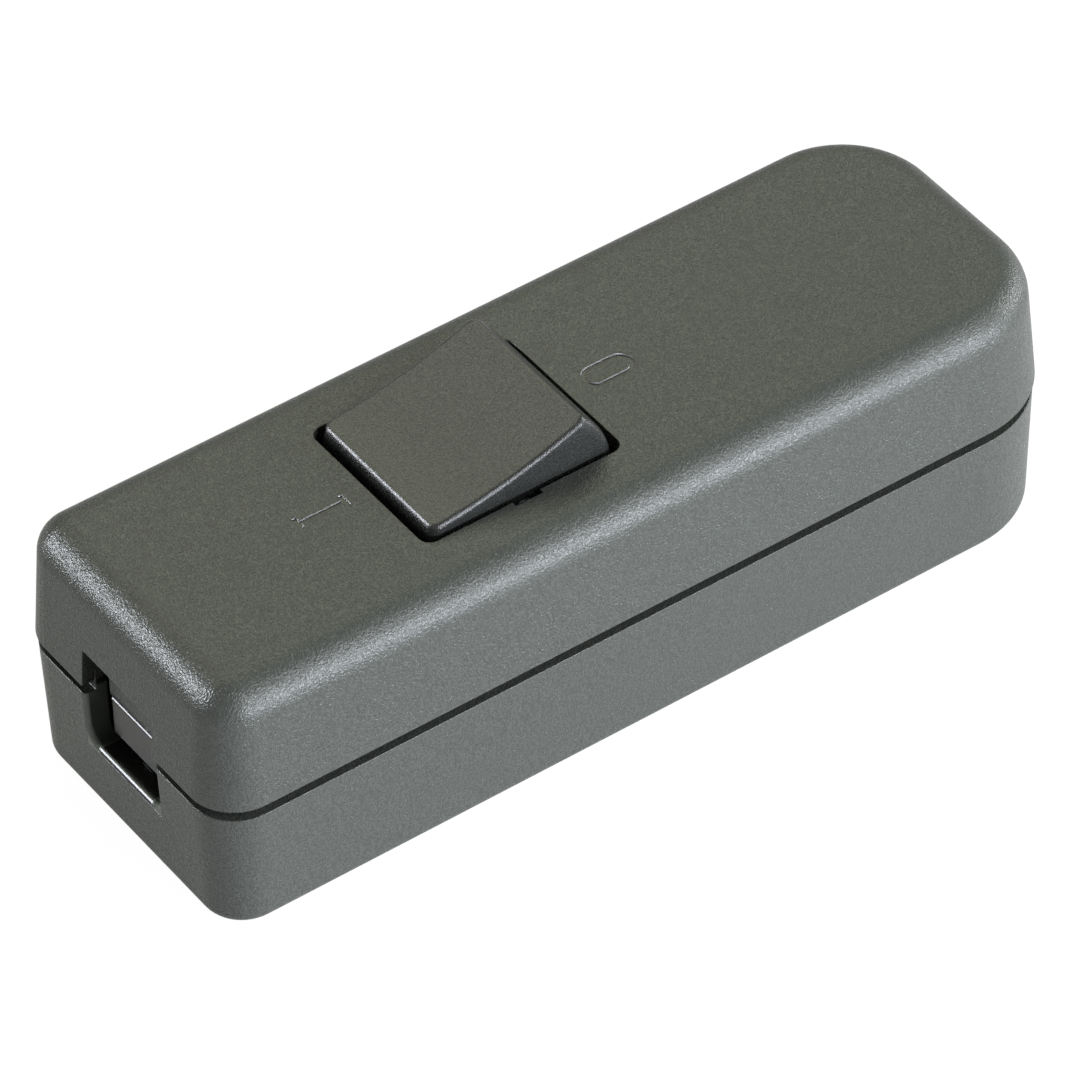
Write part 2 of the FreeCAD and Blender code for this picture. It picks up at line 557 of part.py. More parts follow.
def make_cover_bosses(cover):
    """Add the bosses that take the housing screws and the ribs that hold the brass down."""
    for side, sign in (("near", "-1"), ("far", "1")):
        x = f"{sign} * {SCREW_X}"
        y = f"{sign} * {SCREW_Y}"
        low = f"{BASE_TOP} + Sizes.seat_play"
        cover.cylinder(f"{side}_boss", "Sizes.boss_radius", f"{ROOF_BOTTOM} - ({low})", x=x, y=y, z=low)
        cover.cylinder(f"{side}_pilot", "Sizes.housing_screw + Sizes.running_play",
                       f"Sizes.housing_head_recess + Sizes.head_height + Sizes.housing_screw_length"
                       f" + Sizes.pilot_margin - ({low})", x=x, y=y, z=low, cut=True)
    centre = "Sizes.rocker_place"
    near = f"{centre} + ({CENTRE_BLOCK_END}) - Sizes.block_length"
    far = f"{centre} + {FIXED_BLOCK_START} + Sizes.block_length"
    for row, sign in (("front", "-1"), ("rear", "1")):
        pole = f"({sign} * {POLE})"
        width = (f"{pole} - Sizes.hold_width / 2", f"{pole} + Sizes.hold_width / 2")
        height = (f"{BLOCK_TOP} + Sizes.seat_play", ROOF_BOTTOM)
        inner = f"{near} + Sizes.hold_inset"
        cover.box(f"{row}_centre_hold", (inner, f"{inner} + Sizes.hold_rib"), width, height)
        outer = f"{far} - Sizes.hold_inset"
        cover.box(f"{row}_fixed_hold", (f"{outer} - Sizes.hold_rib", outer), width, height)


def make_rocker_opening(cover):
    """Add the collar and cut the opening, the pin bores and the grooves that lead into them."""
    place_x = "Sizes.rocker_place"
    half_x = OPENING_HALF
    half_y = OPENING_SIDE
    low = f"{ROOF_BOTTOM} - Sizes.collar_depth"
    cover.box("collar", (f"{place_x} - {half_x} - Sizes.collar_wall", f"{place_x} + {half_x} + Sizes.collar_wall"),
              both(f"{half_y} + Sizes.collar_wall"), (low, ROOF_BOTTOM))
    opening = cover.sketch("opening", height="Sizes.height")
    draw_rounded(opening, (f"{place_x} - {half_x}", f"{place_x} + {half_x}"), both(half_y),
                 "Sizes.opening_corner", "Sizes.opening_corner")
    cover.pad("opening_cut", opening, f"Sizes.height - ({low}) + {CUT_PAST}", cut=True)
    bore_end = "(Sizes.rocker_width / 2 + Sizes.pin_length + Sizes.end_play)"
    cover.cylinder("pin_bores", "Sizes.pin_radius + Sizes.running_play", f"2 * {bore_end}",
                   x=place_x, y=f"-{bore_end}", z=PIVOT_Z, along="Y", cut=True)
    lead = "(Sizes.pin_radius + Sizes.running_play)"
    cover.box("lead_in_grooves", (f"{place_x} - {lead}", f"{place_x} + {lead}"),
              both(f"{half_y} + Sizes.lead_in"), (PIVOT_Z, f"Sizes.height + {CUT_PAST}"), cut=True)


def make_marks(cover):
    """Engrave the I and the 0 beside the rocker."""
    depth = ("Sizes.height - Sizes.mark_depth", f"Sizes.height + {CUT_PAST}")
    line = "Sizes.mark_line / 2"
    length = "Sizes.mark_length / 2"
    serif = both("Sizes.mark_serif / 2")
    cover.box("on_mark", (f"{ON_MARK} - {length}", f"{ON_MARK} + {length}"), both(line), depth, cut=True)
    cover.box("on_mark_near_serif", (f"{ON_MARK} - {length}", f"{ON_MARK} - {length} + Sizes.mark_line"),
              serif, depth, cut=True)
    cover.box("on_mark_far_serif", (f"{ON_MARK} + {length} - Sizes.mark_line", f"{ON_MARK} + {length}"),
              serif, depth, cut=True)
    ring = cover.sketch("off_mark", height="Sizes.height")
    draw_slot(ring, OFF_MARK, "Sizes.mark_length / 2", "Sizes.mark_width / 2")
    draw_slot(ring, OFF_MARK, "(Sizes.mark_length / 2 - Sizes.mark_line)", "(Sizes.mark_width / 2 - Sizes.mark_line)")
    cover.pad("off_mark_cut", ring, "Sizes.mark_depth", cut=True)


# Rocker, built about its pivot and then leaned

def lean_with_rocker(piece, y="0"):
    """Stand a piece on the rocker's pivot, leaned with the rocker's I end down."""
    place(piece.body, "Sizes.rocker_place", y, PIVOT_Z)
    piece.body.Placement.Rotation = FreeCAD.Rotation(V(0, 1, 0), -1)
    piece.body.setExpression("Placement.Rotation.Angle", "-Sizes.rocker_tilt")


def make_rocker():
    """The dished rocker with its pivot pins and the two hollow stems below it."""
    rocker = Piece("rocker")
    radius = "Sizes.rocker_radius"
    top_x = f"sqrt({radius} ^ 2 - Sizes.rocker_rise ^ 2)"
    low_x = f"sqrt({radius} ^ 2 - Sizes.rocker_skirt ^ 2)"
    rise, skirt, dish = number("Sizes.rocker_rise"), number("Sizes.rocker_skirt"), number("Sizes.rocker_dish")
    upper, lower, reach = number(top_x), number(low_x), number(radius)
    profile = rocker.sketch("profile", role="XZ_Plane")
    profile.addGeometry([
        Part.LineSegment(V(-lower, -skirt, 0), V(lower, -skirt, 0)),
        Part.Arc(V(lower, -skirt, 0), V(reach, 0, 0), V(upper, rise, 0)),
        Part.Arc(V(-upper, rise, 0), V(0, rise - dish, 0), V(upper, rise, 0)),
        Part.Arc(V(-upper, rise, 0), V(-reach, 0, 0), V(-lower, -skirt, 0)),
    ], False)
    for a, a_end, b, b_end in ((0, 2, 1, 1), (1, 2, 2, 2), (2, 1, 3, 1), (3, 2, 0, 1)):
        profile.addConstraint(Sketcher.Constraint("Coincident", a, a_end, b, b_end))
    hold(profile, 0, 1, f"-{low_x}", "-Sizes.rocker_skirt")
    hold(profile, 0, 2, low_x, "-Sizes.rocker_skirt")
    hold(profile, 1, 2, top_x, "Sizes.rocker_rise")
    hold(profile, 3, 1, f"-{top_x}", "Sizes.rocker_rise")
    for n in (1, 3):
        index = profile.addConstraint(Sketcher.Constraint("Radius", n, reach))
        profile.setExpression(f"Constraints[{index}]", radius)
    bow = f"(({top_x}) ^ 2 + Sizes.rocker_dish ^ 2) / (2 * Sizes.rocker_dish)"
    index = profile.addConstraint(Sketcher.Constraint("Radius", 2, number(bow)))
    profile.setExpression(f"Constraints[{index}]", bow)
    rocker.pad("block", profile, "Sizes.rocker_width", midplane=True)

    half_width = number("Sizes.rocker_width / 2")
    side_x = number(top_x) - 0.5

    def upright_corner(edge):
        middle = edge.CenterOfMass
        return abs(middle.y) > half_width - 0.1 and abs(middle.x) > side_x

    rocker.round("corner_round", "Sizes.rocker_corner", upright_corner)
    crest = number("Sizes.rocker_rise - Sizes.rocker_dish - 0.2")
    rocker.round("edge_round", "Sizes.rocker_edge",
                 lambda edge: all(vertex.Point.z > crest for vertex in edge.Vertexes) and edge.Length > 1)

    inner_x = f"{low_x} - Sizes.rocker_wall"
    roof = "Sizes.rocker_rise - Sizes.rocker_dish - Sizes.rocker_roof"
    inner_y = both("Sizes.rocker_width / 2 - Sizes.rocker_wall")
    rocker.box("hollow", both(inner_x), inner_y, (f"-Sizes.rocker_skirt - {CUT_PAST}", roof), cut=True)
    for row, sign in (("front", "-1"), ("rear", "1")):
        y = f"{sign} * {POLE}"
        rocker.cylinder(f"{row}_stem", "Sizes.stem_radius", f"Sizes.stem_reach + ({roof})", y=y, z="-Sizes.stem_reach")
        rocker.cylinder(f"{row}_bore", "Sizes.plunger_radius + Sizes.running_play",
                        "Sizes.stem_reach + Sizes.stem_bore_rise", y=y, z="-Sizes.stem_reach", cut=True)
    tip = "(Sizes.rocker_width / 2 + Sizes.pin_length)"
    root = "(Sizes.rocker_width / 2 - Sizes.rocker_wall)"
    rocker.cylinder("front_pin", "Sizes.pin_radius", f"{tip} - {root}", y=f"-{tip}", along="Y")
    rocker.cylinder("rear_pin", "Sizes.pin_radius", f"{tip} - {root}", y=root, along="Y")
    lean_with_rocker(rocker)
    return rocker


def make_plunger(row, sign):
    """A round plunger with a domed tip, sliding in one stem."""
    plunger = Piece(f"plunger_{row}")
    dome = "-Sizes.plunger_reach + Sizes.plunger_radius"
    ball = plunger.feature("AdditiveSphere", "dome")
    bind(ball, Radius="Sizes.plunger_radius")
    place(ball, z=dome)
    document.recompute()
    plunger.cylinder("barrel", "Sizes.plunger_radius", "Sizes.plunger_length - Sizes.plunger_radius", z=dome)
    lean_with_rocker(plunger, f"{sign} * {POLE}")
    return plunger


def make_spring(row, sign):
    """The wire coil between the stem's blind end and the plunger."""
    gap = "(Sizes.spring_wire + Sizes.seat_play)"
    low = f"-Sizes.plunger_reach + Sizes.plunger_length + {gap}"
    high = f"Sizes.stem_bore_rise - {gap}"
    coil = document.addObject("Part::Helix", f"spring_{row}_path")
    bind(coil, Radius="Sizes.spring_radius", Height=f"{high} - ({low})", Pitch=f"({high} - ({low})) / Sizes.spring_turns")
    place(coil, z=low)
    wire = document.addObject("Part::Circle", f"spring_{row}_wire")
    bind(wire, Radius="Sizes.spring_wire")
    wire.Placement.Rotation = FreeCAD.Rotation(V(1, 0, 0), 90)
    place(wire, x="Sizes.spring_radius", z=low)
    document.recompute()
    spring = document.addObject("Part::Sweep", f"plunger_spring_{row}")
    spring.Sections = [wire]
    spring.Spine = (coil, ["Edge1"])
    spring.Solid = True
    spring.Frenet = True
    spring.Label = f"plunger_spring_{row}"
    place(spring, "Sizes.rocker_place", f"{sign} * {POLE}", PIVOT_Z)
    spring.Placement.Rotation = FreeCAD.Rotation(V(0, 1, 0), -1)
    spring.setExpression("Placement.Rotation.Angle", "-Sizes.rocker_tilt")
    document.recompute()
    return spring


# Contacts and terminals of one pole

def lean_with_bridge(piece, sign):
    """Stand a piece on a contact bridge's pin, leaned with its contact down."""
    place(piece.body, "Sizes.rocker_place", f"{sign} * {POLE}", BRIDGE_Z)
    piece.body.Placement.Rotation = FreeCAD.Rotation(V(0, 1, 0), 1)
    piece.body.setExpression("Placement.Rotation.Angle", HALF_THROW)


def make_bridge(row, sign):
    """The rocking brass strip with its cross pin and a hole for the contact rivet."""
    bridge = Piece(f"contact_bridge_{row}")
    thick = "Sizes.bridge_thickness"
    arm, half, rise = "Sizes.bridge_arm", "Sizes.cradle_half", "Sizes.cradle_rise"
    profile = bridge.sketch("profile", role="XZ_Plane")
    draw_polygon(profile, [
        (f"-{arm}", rise), (f"-{half}", rise), ("0", "0"), (half, rise), (arm, rise),
        (arm, f"{rise} + {thick}"), (half, f"{rise} + {thick}"), ("0", thick),
        (f"-{half}", f"{rise} + {thick}"), (f"-{arm}", f"{rise} + {thick}")])
    bridge.pad("strip", profile, "Sizes.bridge_width", midplane=True)
    bridge.cylinder("pin", thick, f"2 * {EAR_OUTER}", y=f"-{EAR_OUTER}", along="Y")
    bridge.cylinder("rivet_hole", "Sizes.contact_stem + Sizes.rivet_play", f"{thick} + 2 * {CUT_PAST}",
                    x="Sizes.contact_place", z=f"{rise} - {CUT_PAST}", cut=True)
    lean_with_bridge(bridge, sign)
    return bridge


def make_moving_contact(row, sign):
    """The silver rivet under the bridge's contact arm."""
    contact = Piece(f"moving_contact_{row}")
    contact.cylinder("head", "Sizes.contact_radius", "Sizes.contact_height",
                     x="Sizes.contact_place", z="Sizes.cradle_rise - Sizes.contact_height")
    contact.cylinder("stem", "Sizes.contact_stem", "Sizes.bridge_thickness",
                     x="Sizes.contact_place", z="Sizes.cradle_rise")
    lean_with_bridge(contact, sign)
    return contact


def stand_on_pole(piece, sign):
    """Stand a piece under the rocker's pivot on one pole."""
    place(piece.body, "Sizes.rocker_place", f"{sign} * {POLE}", "0")


def cut_terminal(piece, wire_end, inward):
    """Cut the wire hole and the screw hole into a terminal block."""
    direction = "1" if inward == "X" else "-1"
    start = wire_end if inward == "X" else f"{wire_end} - Sizes.wire_hole_depth"
    middle = f"(({BLOCK_TOP}) + Sizes.block_bottom) / 2"
    piece.cylinder("wire_hole", "Sizes.wire_hole", "Sizes.wire_hole_depth", x=start, z=middle, along="X", cut=True)
    piece.cylinder("screw_hole", "Sizes.terminal_screw + Sizes.running_play",
                   f"({BLOCK_TOP}) - ({middle}) + {CUT_PAST}", x=f"{wire_end} + {direction} * Sizes.screw_place",
                   z=middle, cut=True)


def make_centre_terminal(row, sign):
    """The brass terminal whose two ears carry the contact bridge."""
    terminal = Piece(f"centre_terminal_{row}")
    top = f"{BLOCK_TOP} - Sizes.strip_drop"
    low = f"{top} - Sizes.strip_thickness"
    wire_end = f"({CENTRE_BLOCK_END} - Sizes.block_length)"
    terminal.box("block", (wire_end, CENTRE_BLOCK_END), both("Sizes.block_width / 2"),
                 ("Sizes.block_bottom", BLOCK_TOP))
    terminal.box("strip", (f"{CENTRE_BLOCK_END} - Sizes.strip_root", "Sizes.ear_length / 2"), both(EAR_OUTER), (low, top))
    for side, y in (("front", (f"-{EAR_OUTER}", f"-{EAR_INNER}")), ("rear", (EAR_INNER, EAR_OUTER))):
        terminal.box(f"{side}_ear", both("Sizes.ear_length / 2"), y, (low, f"{BRIDGE_Z} + Sizes.ear_rise"))
    terminal.cylinder("pin_holes", "Sizes.bridge_thickness + Sizes.running_play", f"2 * ({EAR_OUTER} + {CUT_PAST})",
                      y=f"-{EAR_OUTER} - {CUT_PAST}", z=BRIDGE_Z, along="Y", cut=True)
    cut_terminal(terminal, wire_end, "X")
    stand_on_pole(terminal, sign)
    return terminal


def make_fixed_terminal(row, sign):
    """The brass terminal whose strip carries the fixed contact."""
    terminal = Piece(f"fixed_terminal_{row}")
    wire_end = f"({FIXED_BLOCK_START} + Sizes.block_length)"
    start = f"{CONTACT_X} - Sizes.contact_radius"
    terminal.box("block", (FIXED_BLOCK_START, wire_end), both("Sizes.block_width / 2"),
                 ("Sizes.block_bottom", BLOCK_TOP))
    terminal.box("strip", (start, f"{FIXED_BLOCK_START} + Sizes.strip_root"), both("Sizes.block_width / 2"),
                 (f"{FIXED_TOP} - Sizes.strip_thickness", FIXED_TOP))
    terminal.cylinder("rivet_hole", "Sizes.contact_stem + Sizes.rivet_play",
                      f"Sizes.strip_thickness + 2 * {CUT_PAST}", x=CONTACT_X,
                      z=f"{FIXED_TOP} - Sizes.strip_thickness - {CUT_PAST}", cut=True)
    cut_terminal(terminal, wire_end, "-X")
    stand_on_pole(terminal, sign)
    return terminal


def make_fixed_contact(row, sign):
    """The silver rivet on the fixed terminal's strip."""
    contact = Piece(f"fixed_contact_{row}")
    contact.cylinder("head", "Sizes.contact_radius", "Sizes.contact_height", x=CONTACT_X, z=FIXED_TOP)
    contact.cylinder("stem", "Sizes.contact_stem", "Sizes.strip_thickness",
                     x=CONTACT_X, z=f"{FIXED_TOP} - Sizes.strip_thickness")
    stand_on_pole(contact, sign)
    return contact


# Fasteners

def make_screw(name, shank, length, head, x, y, seat, downwards=True):
    """A slotted screw whose head bears on a seat at a height."""
    screw = Piece(name)
    screw.cylinder("head", head, "Sizes.head_height")
    screw.cylinder("shank", shank, length, along="-Z")
    screw.box("slot", both(f"{head} + {CUT_PAST}"), both("Sizes.slot_width / 2"),
              ("Sizes.head_height - Sizes.slot_depth", f"Sizes.head_height + {CUT_PAST}"), cut=True)
    if not downwards:
        screw.body.Placement.Rotation = FreeCAD.Rotation(V(1, 0, 0), 180)
    place(screw.body, x, y, seat)
    return screw


def make_pole(row, sign):
    """Every piece of one pole."""
    centre = "Sizes.rocker_place"
    pole = f"{sign} * {POLE}"
    near = f"{centre} + ({CENTRE_BLOCK_END}) - Sizes.block_length + Sizes.screw_place"
    far = f"{centre} + {FIXED_BLOCK_START} + Sizes.block_length - Sizes.screw_place"
    length = f"(({BLOCK_TOP}) - Sizes.block_bottom) / 2"
    return [
        make_plunger(row, sign).body,
        make_spring(row, sign),
        make_bridge(row, sign).body,
        make_moving_contact(row, sign).body,
        make_centre_terminal(row, sign).body,
        make_fixed_terminal(row, sign).body,
        make_fixed_contact(row, sign).body,
        make_screw(f"centre_screw_{row}", "Sizes.terminal_screw", length, "Sizes.terminal_head",
                   near, pole, BLOCK_TOP).body,
        make_screw(f"fixed_screw_{row}", "Sizes.terminal_screw", length, "Sizes.terminal_head",
                   far, pole, BLOCK_TOP).body,
    ]


def make_earth():
    """The brass block that joins the protective conductors, and its two screws."""
    earth = Piece("earth_connector")
    middle = "Sizes.earth_height / 2"
    earth.box("block", both("Sizes.earth_length / 2"), both("Sizes.earth_width / 2"), ("0", "Sizes.earth_height"))
    earth.cylinder("wire_hole", "Sizes.wire_hole", f"Sizes.earth_length + 2 * {CUT_PAST}",
                   x=f"-Sizes.earth_length / 2 - {CUT_PAST}", z=middle, along="X", cut=True)
    top = "Sizes.block_bottom + Sizes.earth_height"
    pieces = [earth.body]
    for side, sign in (("near", "-1"), ("far", "1")):
        offset = f"{sign} * Sizes.earth_spacing / 2"
        earth.cylinder(f"{side}_screw_hole", "Sizes.terminal_screw + Sizes.running_play", f"{middle} + {CUT_PAST}",
                       x=offset, z=middle, cut=True)
        pieces.append(make_screw(f"earth_screw_{side}", "Sizes.terminal_screw", middle, "Sizes.terminal_head",
                                 f"{EARTH_X} + {offset}", "0", top).body)
    place(earth.body, EARTH_X, "0", "Sizes.block_bottom")
    return pieces


def make_clamp(side):
    """One cord clamp: a bar with grip teeth below, and its two screws."""
    centre = f"{END_SIGNS[side]} * {CLAMP_X}"
    bar = Piece(f"clamp_bar_{side}")
    bar.box("bar", both("Sizes.clamp_width / 2"), both(CLAMP_HALF), ("0", "Sizes.clamp_thickness"))
    ends = number(CLAMP_HALF) - 0.1
    bar.round("end_round", "Sizes.clamp_end_round",
              lambda edge: abs(edge.CenterOfMass.y) > ends and not lies_at(edge, edge.Vertexes[0].Point.z))
    bar.box("tooth", both("Sizes.tooth / 2"), both("Sizes.entry_width / 2 - Sizes.seat_play"), ("-Sizes.tooth", "Sizes.sink"))
    pieces = [bar.body]
    for row, sign in (("front", "-1"), ("rear", "1")):
        y = f"{sign} * {CLAMP_Y}"
        bar.cylinder(f"{row}_hole", "Sizes.clamp_screw + Sizes.screw_clearance",
                     f"Sizes.clamp_thickness + 2 * {CUT_PAST}", y=y, z=f"-{CUT_PAST}", cut=True)
        pieces.append(make_screw(f"clamp_screw_{side}_{row}", "Sizes.clamp_screw",
                                 "Sizes.clamp_screw_length - Sizes.seat_play", "Sizes.clamp_head",
                                 centre, y, "Sizes.clamp_seat + Sizes.clamp_thickness").body)
    place(bar.body, centre, "0", "Sizes.clamp_seat")
    return pieces


def make_housing_screws():
    """The two screws that come up through the base into the cover."""
    screws = []
    for side, sign in (("near", "-1"), ("far", "1")):
        screws.append(make_screw(f"housing_screw_{side}", "Sizes.housing_screw", "Sizes.housing_screw_length",
                                 "Sizes.housing_head", f"{sign} * {SCREW_X}", f"{sign} * {SCREW_Y}",
                                 "Sizes.housing_head_recess + Sizes.head_height", downwards=False).body)
    return screws


def check(pieces):
    """Stop if any object failed, or any piece is empty, broken or in more than one solid."""
    for item in document.Objects:
        if "Invalid" in item.State or "Error" in item.State:
            raise RuntimeError(f"{item.Name} failed: {item.State}")
    for piece in pieces:
        shape = piece.Shape
        if shape.isNull() or not shape.isValid() or len(shape.Solids) != 1:
            raise RuntimeError(f"{piece.Label} isn't one sound solid")


def main():
    """Build every piece, check it and write it."""
    pieces = [make_base().body, make_cover().body, make_rocker().body]
    for row, sign in (("front", "-1"), ("rear", "1")):
        pieces += make_pole(row, sign)
    pieces += make_earth()
    pieces += make_clamp("near")
    pieces += make_clamp("far")
    pieces += make_housing_screws()
    document.recompute()
    check(pieces)
    os.makedirs(PARTS_FOLDER, exist_ok=True)
    for piece in pieces:
        piece.Shape.exportStep(os.path.join(PARTS_FOLDER, f"{piece.Label}.step"))
        box = piece.Shape.BoundBox
        print(f"{piece.Label}: {piece.Shape.Volume:.1f} mm3, x {box.XMin:.2f}..{box.XMax:.2f},"
              f" y {box.YMin:.2f}..{box.YMax:.2f}, z {box.ZMin:.2f}..{box.ZMax:.2f}")


main()
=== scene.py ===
"""Looks of a two-pole inline cord switch: two black shells, a rocker, and the brass and steel inside."""

from __future__ import annotations

import json
import logging
import math
from dataclasses import dataclass
from enum import Enum
from typing import ClassVar, Mapping, Sequence, Union

import bmesh
import bpy
from mathutils import Euler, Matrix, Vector

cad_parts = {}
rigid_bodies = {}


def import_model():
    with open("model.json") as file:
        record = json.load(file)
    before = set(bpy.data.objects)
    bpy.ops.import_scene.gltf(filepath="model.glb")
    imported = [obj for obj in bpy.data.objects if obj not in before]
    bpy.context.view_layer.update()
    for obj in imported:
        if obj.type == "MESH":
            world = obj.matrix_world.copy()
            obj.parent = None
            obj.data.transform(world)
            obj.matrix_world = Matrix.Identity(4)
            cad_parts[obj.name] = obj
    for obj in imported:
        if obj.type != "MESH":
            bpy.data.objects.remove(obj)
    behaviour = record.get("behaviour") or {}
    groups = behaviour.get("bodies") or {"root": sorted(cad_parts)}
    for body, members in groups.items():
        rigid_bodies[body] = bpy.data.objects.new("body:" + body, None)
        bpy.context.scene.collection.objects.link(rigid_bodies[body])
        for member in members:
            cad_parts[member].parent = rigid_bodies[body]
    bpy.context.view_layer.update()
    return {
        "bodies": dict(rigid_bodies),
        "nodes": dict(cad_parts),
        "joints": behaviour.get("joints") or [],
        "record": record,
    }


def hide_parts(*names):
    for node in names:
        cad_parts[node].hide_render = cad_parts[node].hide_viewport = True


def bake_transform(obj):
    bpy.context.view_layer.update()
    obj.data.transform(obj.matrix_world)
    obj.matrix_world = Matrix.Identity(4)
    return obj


LOG = logging.getLogger("cord_switch")
MM = 0.001
MEAN = 0.5  # the middle of a pattern that runs from 0 to 1
MIRRORED = 0.42  # how much of the white surroundings a shiny surface mirrors

Colour = tuple[float, float, float]
Point = tuple[float, float, float]
Span = tuple[float, float]
Operand = Union["Value", float]


class Value:
    """One value of a shader, with the arithmetic that adds Math nodes."""

    def __init__(self, recipe: Recipe, socket: bpy.types.NodeSocket) -> None:
        """Hold the socket that the value comes from.

        Args:
            recipe: the material that the value belongs to.
            socket: the output that carries the value.
        """
        self.recipe = recipe
        self.socket = socket

    def _math(self, operation: str, *operands: Operand) -> Value:
        """Add one Math node.

        Args:
            operation: what the node works out.
            operands: its inputs, in order.

        Returns:
            The node's result.
        """
        return self.recipe.value("ShaderNodeMath", {"operation": operation}, dict(enumerate(operands)))

    def __add__(self, other: Operand) -> Value:
        """Self plus other."""
        return self._math("ADD", self, other)

    def __radd__(self, other: Operand) -> Value:
        """Other plus self."""
        return self._math("ADD", other, self)

    def __sub__(self, other: Operand) -> Value:
        """Self minus other."""
        return self._math("SUBTRACT", self, other)

    def __rsub__(self, other: Operand) -> Value:
        """Other minus self."""
        return self._math("SUBTRACT", other, self)

    def __mul__(self, other: Operand) -> Value:
        """Self times other."""
        return self._math("MULTIPLY", self, other)

    def __abs__(self) -> Value:
        """Self without its sign."""
        return self._math("ABSOLUTE", self)

    def highest(self, other: Operand) -> Value:
        """The larger of self and other."""
        return self._math("MAXIMUM", self, other)

    def rising(self, low: float, high: float) -> Value:
        """A smooth step.

        Args:
            low: where the step begins, with 0.
            high: where it ends, with 1.

        Returns:
            The step, from 0 to 1.
        """
        settings = {"interpolation_type": "SMOOTHSTEP"}
        sockets = {"Value": self, "From Min": low, "From Max": high}
        return self.recipe.value("ShaderNodeMapRange", settings, sockets)


class Recipe:
    """A material and the nodes that make it."""

    MIX_SOCKETS: ClassVar[tuple[int, int, int]] = (0, 6, 7)
    MIX_RESULT: ClassVar[int] = 2
    BEVEL_SAMPLES: ClassVar[int] = 6
    EDGE_TURN: ClassVar[Span] = (0.01, 0.20)
    UPRIGHT_TURN: ClassVar[Span] = (0.03, 0.34)

    def __init__(self, name: str) -> None:
        """Start an empty material.

        Args:
            name: the material's name.
        """
        self.material = bpy.data.materials.new(name)
        self.material.use_nodes = True
        self.tree = self.material.node_tree
        self.tree.nodes.clear()
        self.place = self.output(self.node("ShaderNodeTexCoord"), "Object")

    def node(self, kind: str, settings: Mapping[str, object] | None = None,
             sockets: Mapping[str | int, object] | None = None) -> bpy.types.Node:
        """Add one node.

        Args:
            kind: the node's type.
            settings: what is set on the node itself.
            sockets: values or links of its inputs, by name or number.

        Returns:
            The node.
        """
        made = self.tree.nodes.new(kind)
        for name, setting in (settings or {}).items():
            setattr(made, name, setting)
        for name, entry in (sockets or {}).items():
            socket = made.inputs[name]
            if isinstance(entry, Value):
                self.tree.links.new(entry.socket, socket)
            elif isinstance(entry, bpy.types.NodeSocket):
                self.tree.links.new(entry, socket)
            elif isinstance(entry, tuple) and socket.type == "RGBA":
                socket.default_value = (*entry, 1.0)
            else:
                socket.default_value = entry
        return made

    @staticmethod
    def output(node: bpy.types.Node, name: str | int = 0) -> bpy.types.NodeSocket:
        """One output of a node that is switched on."""
        if isinstance(name, int):
            return [socket for socket in node.outputs if socket.enabled][name]
        return node.outputs[name]

    def value(self, kind: str, settings: Mapping[str, object] | None = None,
              sockets: Mapping[str | int, object] | None = None, name: str | int = 0) -> Value:
        """Add one node and take one of its outputs as a value.

        Args:
            kind: the node's type.
            settings: what is set on the node itself.
            sockets: values or links of its inputs.
            name: the output's name or number.

        Returns:
            The output.
        """
        return Value(self, self.output(self.node(kind, settings, sockets), name))

    def axis(self, name: str) -> Value:
        """The X, Y or Z of the place on the object, in metres."""
        return self.value("ShaderNodeSeparateXYZ", None, {"Vector": self.place}, name)

    def noise(self, grain: float, detail: float = 2.0, roughness: float = 0.5,
              stretch: Point = (1.0, 1.0, 1.0)) -> Value:
        """A cloudy pattern.

        Args:
            grain: size of its features, in metres.
            detail: how many finer layers it has.
            roughness: how strong the finer layers are.
            stretch: how much larger the features are along X, Y and Z.

        Returns:
            The pattern, from 0 to 1.
        """
        mapping = {"Vector": self.place, "Scale": Vector([1.0 / part for part in stretch])}
        vector = self.output(self.node("ShaderNodeMapping", None, mapping))
        sockets = {"Vector": vector, "Scale": 1.0 / grain, "Detail": detail, "Roughness": roughness}
        return self.value("ShaderNodeTexNoise", None, sockets)

    def blend(self, factor: Operand, low: object, high: object) -> bpy.types.NodeSocket:
        """Mix two colours.

        Args:
            factor: 0 for the first colour, 1 for the second.
            low: the first colour.
            high: the second colour.

        Returns:
            The mixed colour.
        """
        sockets = dict(zip(self.MIX_SOCKETS, (factor, low, high)))
        return self.node("ShaderNodeMix", {"data_type": "RGBA"}, sockets).outputs[self.MIX_RESULT]

    def rounded(self, radius: float) -> bpy.types.NodeSocket:
        """A normal that rounds sharp edges to a radius, in metres."""
        return self.output(self.node("ShaderNodeBevel", {"samples": self.BEVEL_SAMPLES}, {"Radius": radius}))

    def edges(self, rounded: bpy.types.NodeSocket) -> Value:
        """Where a surface has a sharp edge.

        Args:
            rounded: the normal with its edges rounded.

        Returns:
            1 on the edges, 0 away from them.
        """
        plain = self.output(self.node("ShaderNodeNewGeometry"), "Normal")
        sockets = {0: plain, 1: rounded}
        alike = self.value("ShaderNodeVectorMath", {"operation": "DOT_PRODUCT"}, sockets, "Value")
        return (1.0 - alike).rising(*self.EDGE_TURN)

    def upright(self, normal: bpy.types.NodeSocket) -> Value:
        """Where a surface stands upright.

        Args:
            normal: the surface's normal.

        Returns:
            1 on upright walls, 0 on level faces.
        """
        level = abs(self.value("ShaderNodeSeparateXYZ", None, {"Vector": normal}, "Z"))
        return (1.0 - level).rising(*self.UPRIGHT_TURN)

    @staticmethod
    def below(place: Value, high: float, soft: float = 0.02 * MM) -> Value:
        """The part of an axis that is below a place.

        Args:
            place: the axis, in metres.
            high: where the part ends.
            soft: half the width of its border.

        Returns:
            1 below the place, 0 above it.
        """
        return 1.0 - place.rising(high - soft, high + soft)

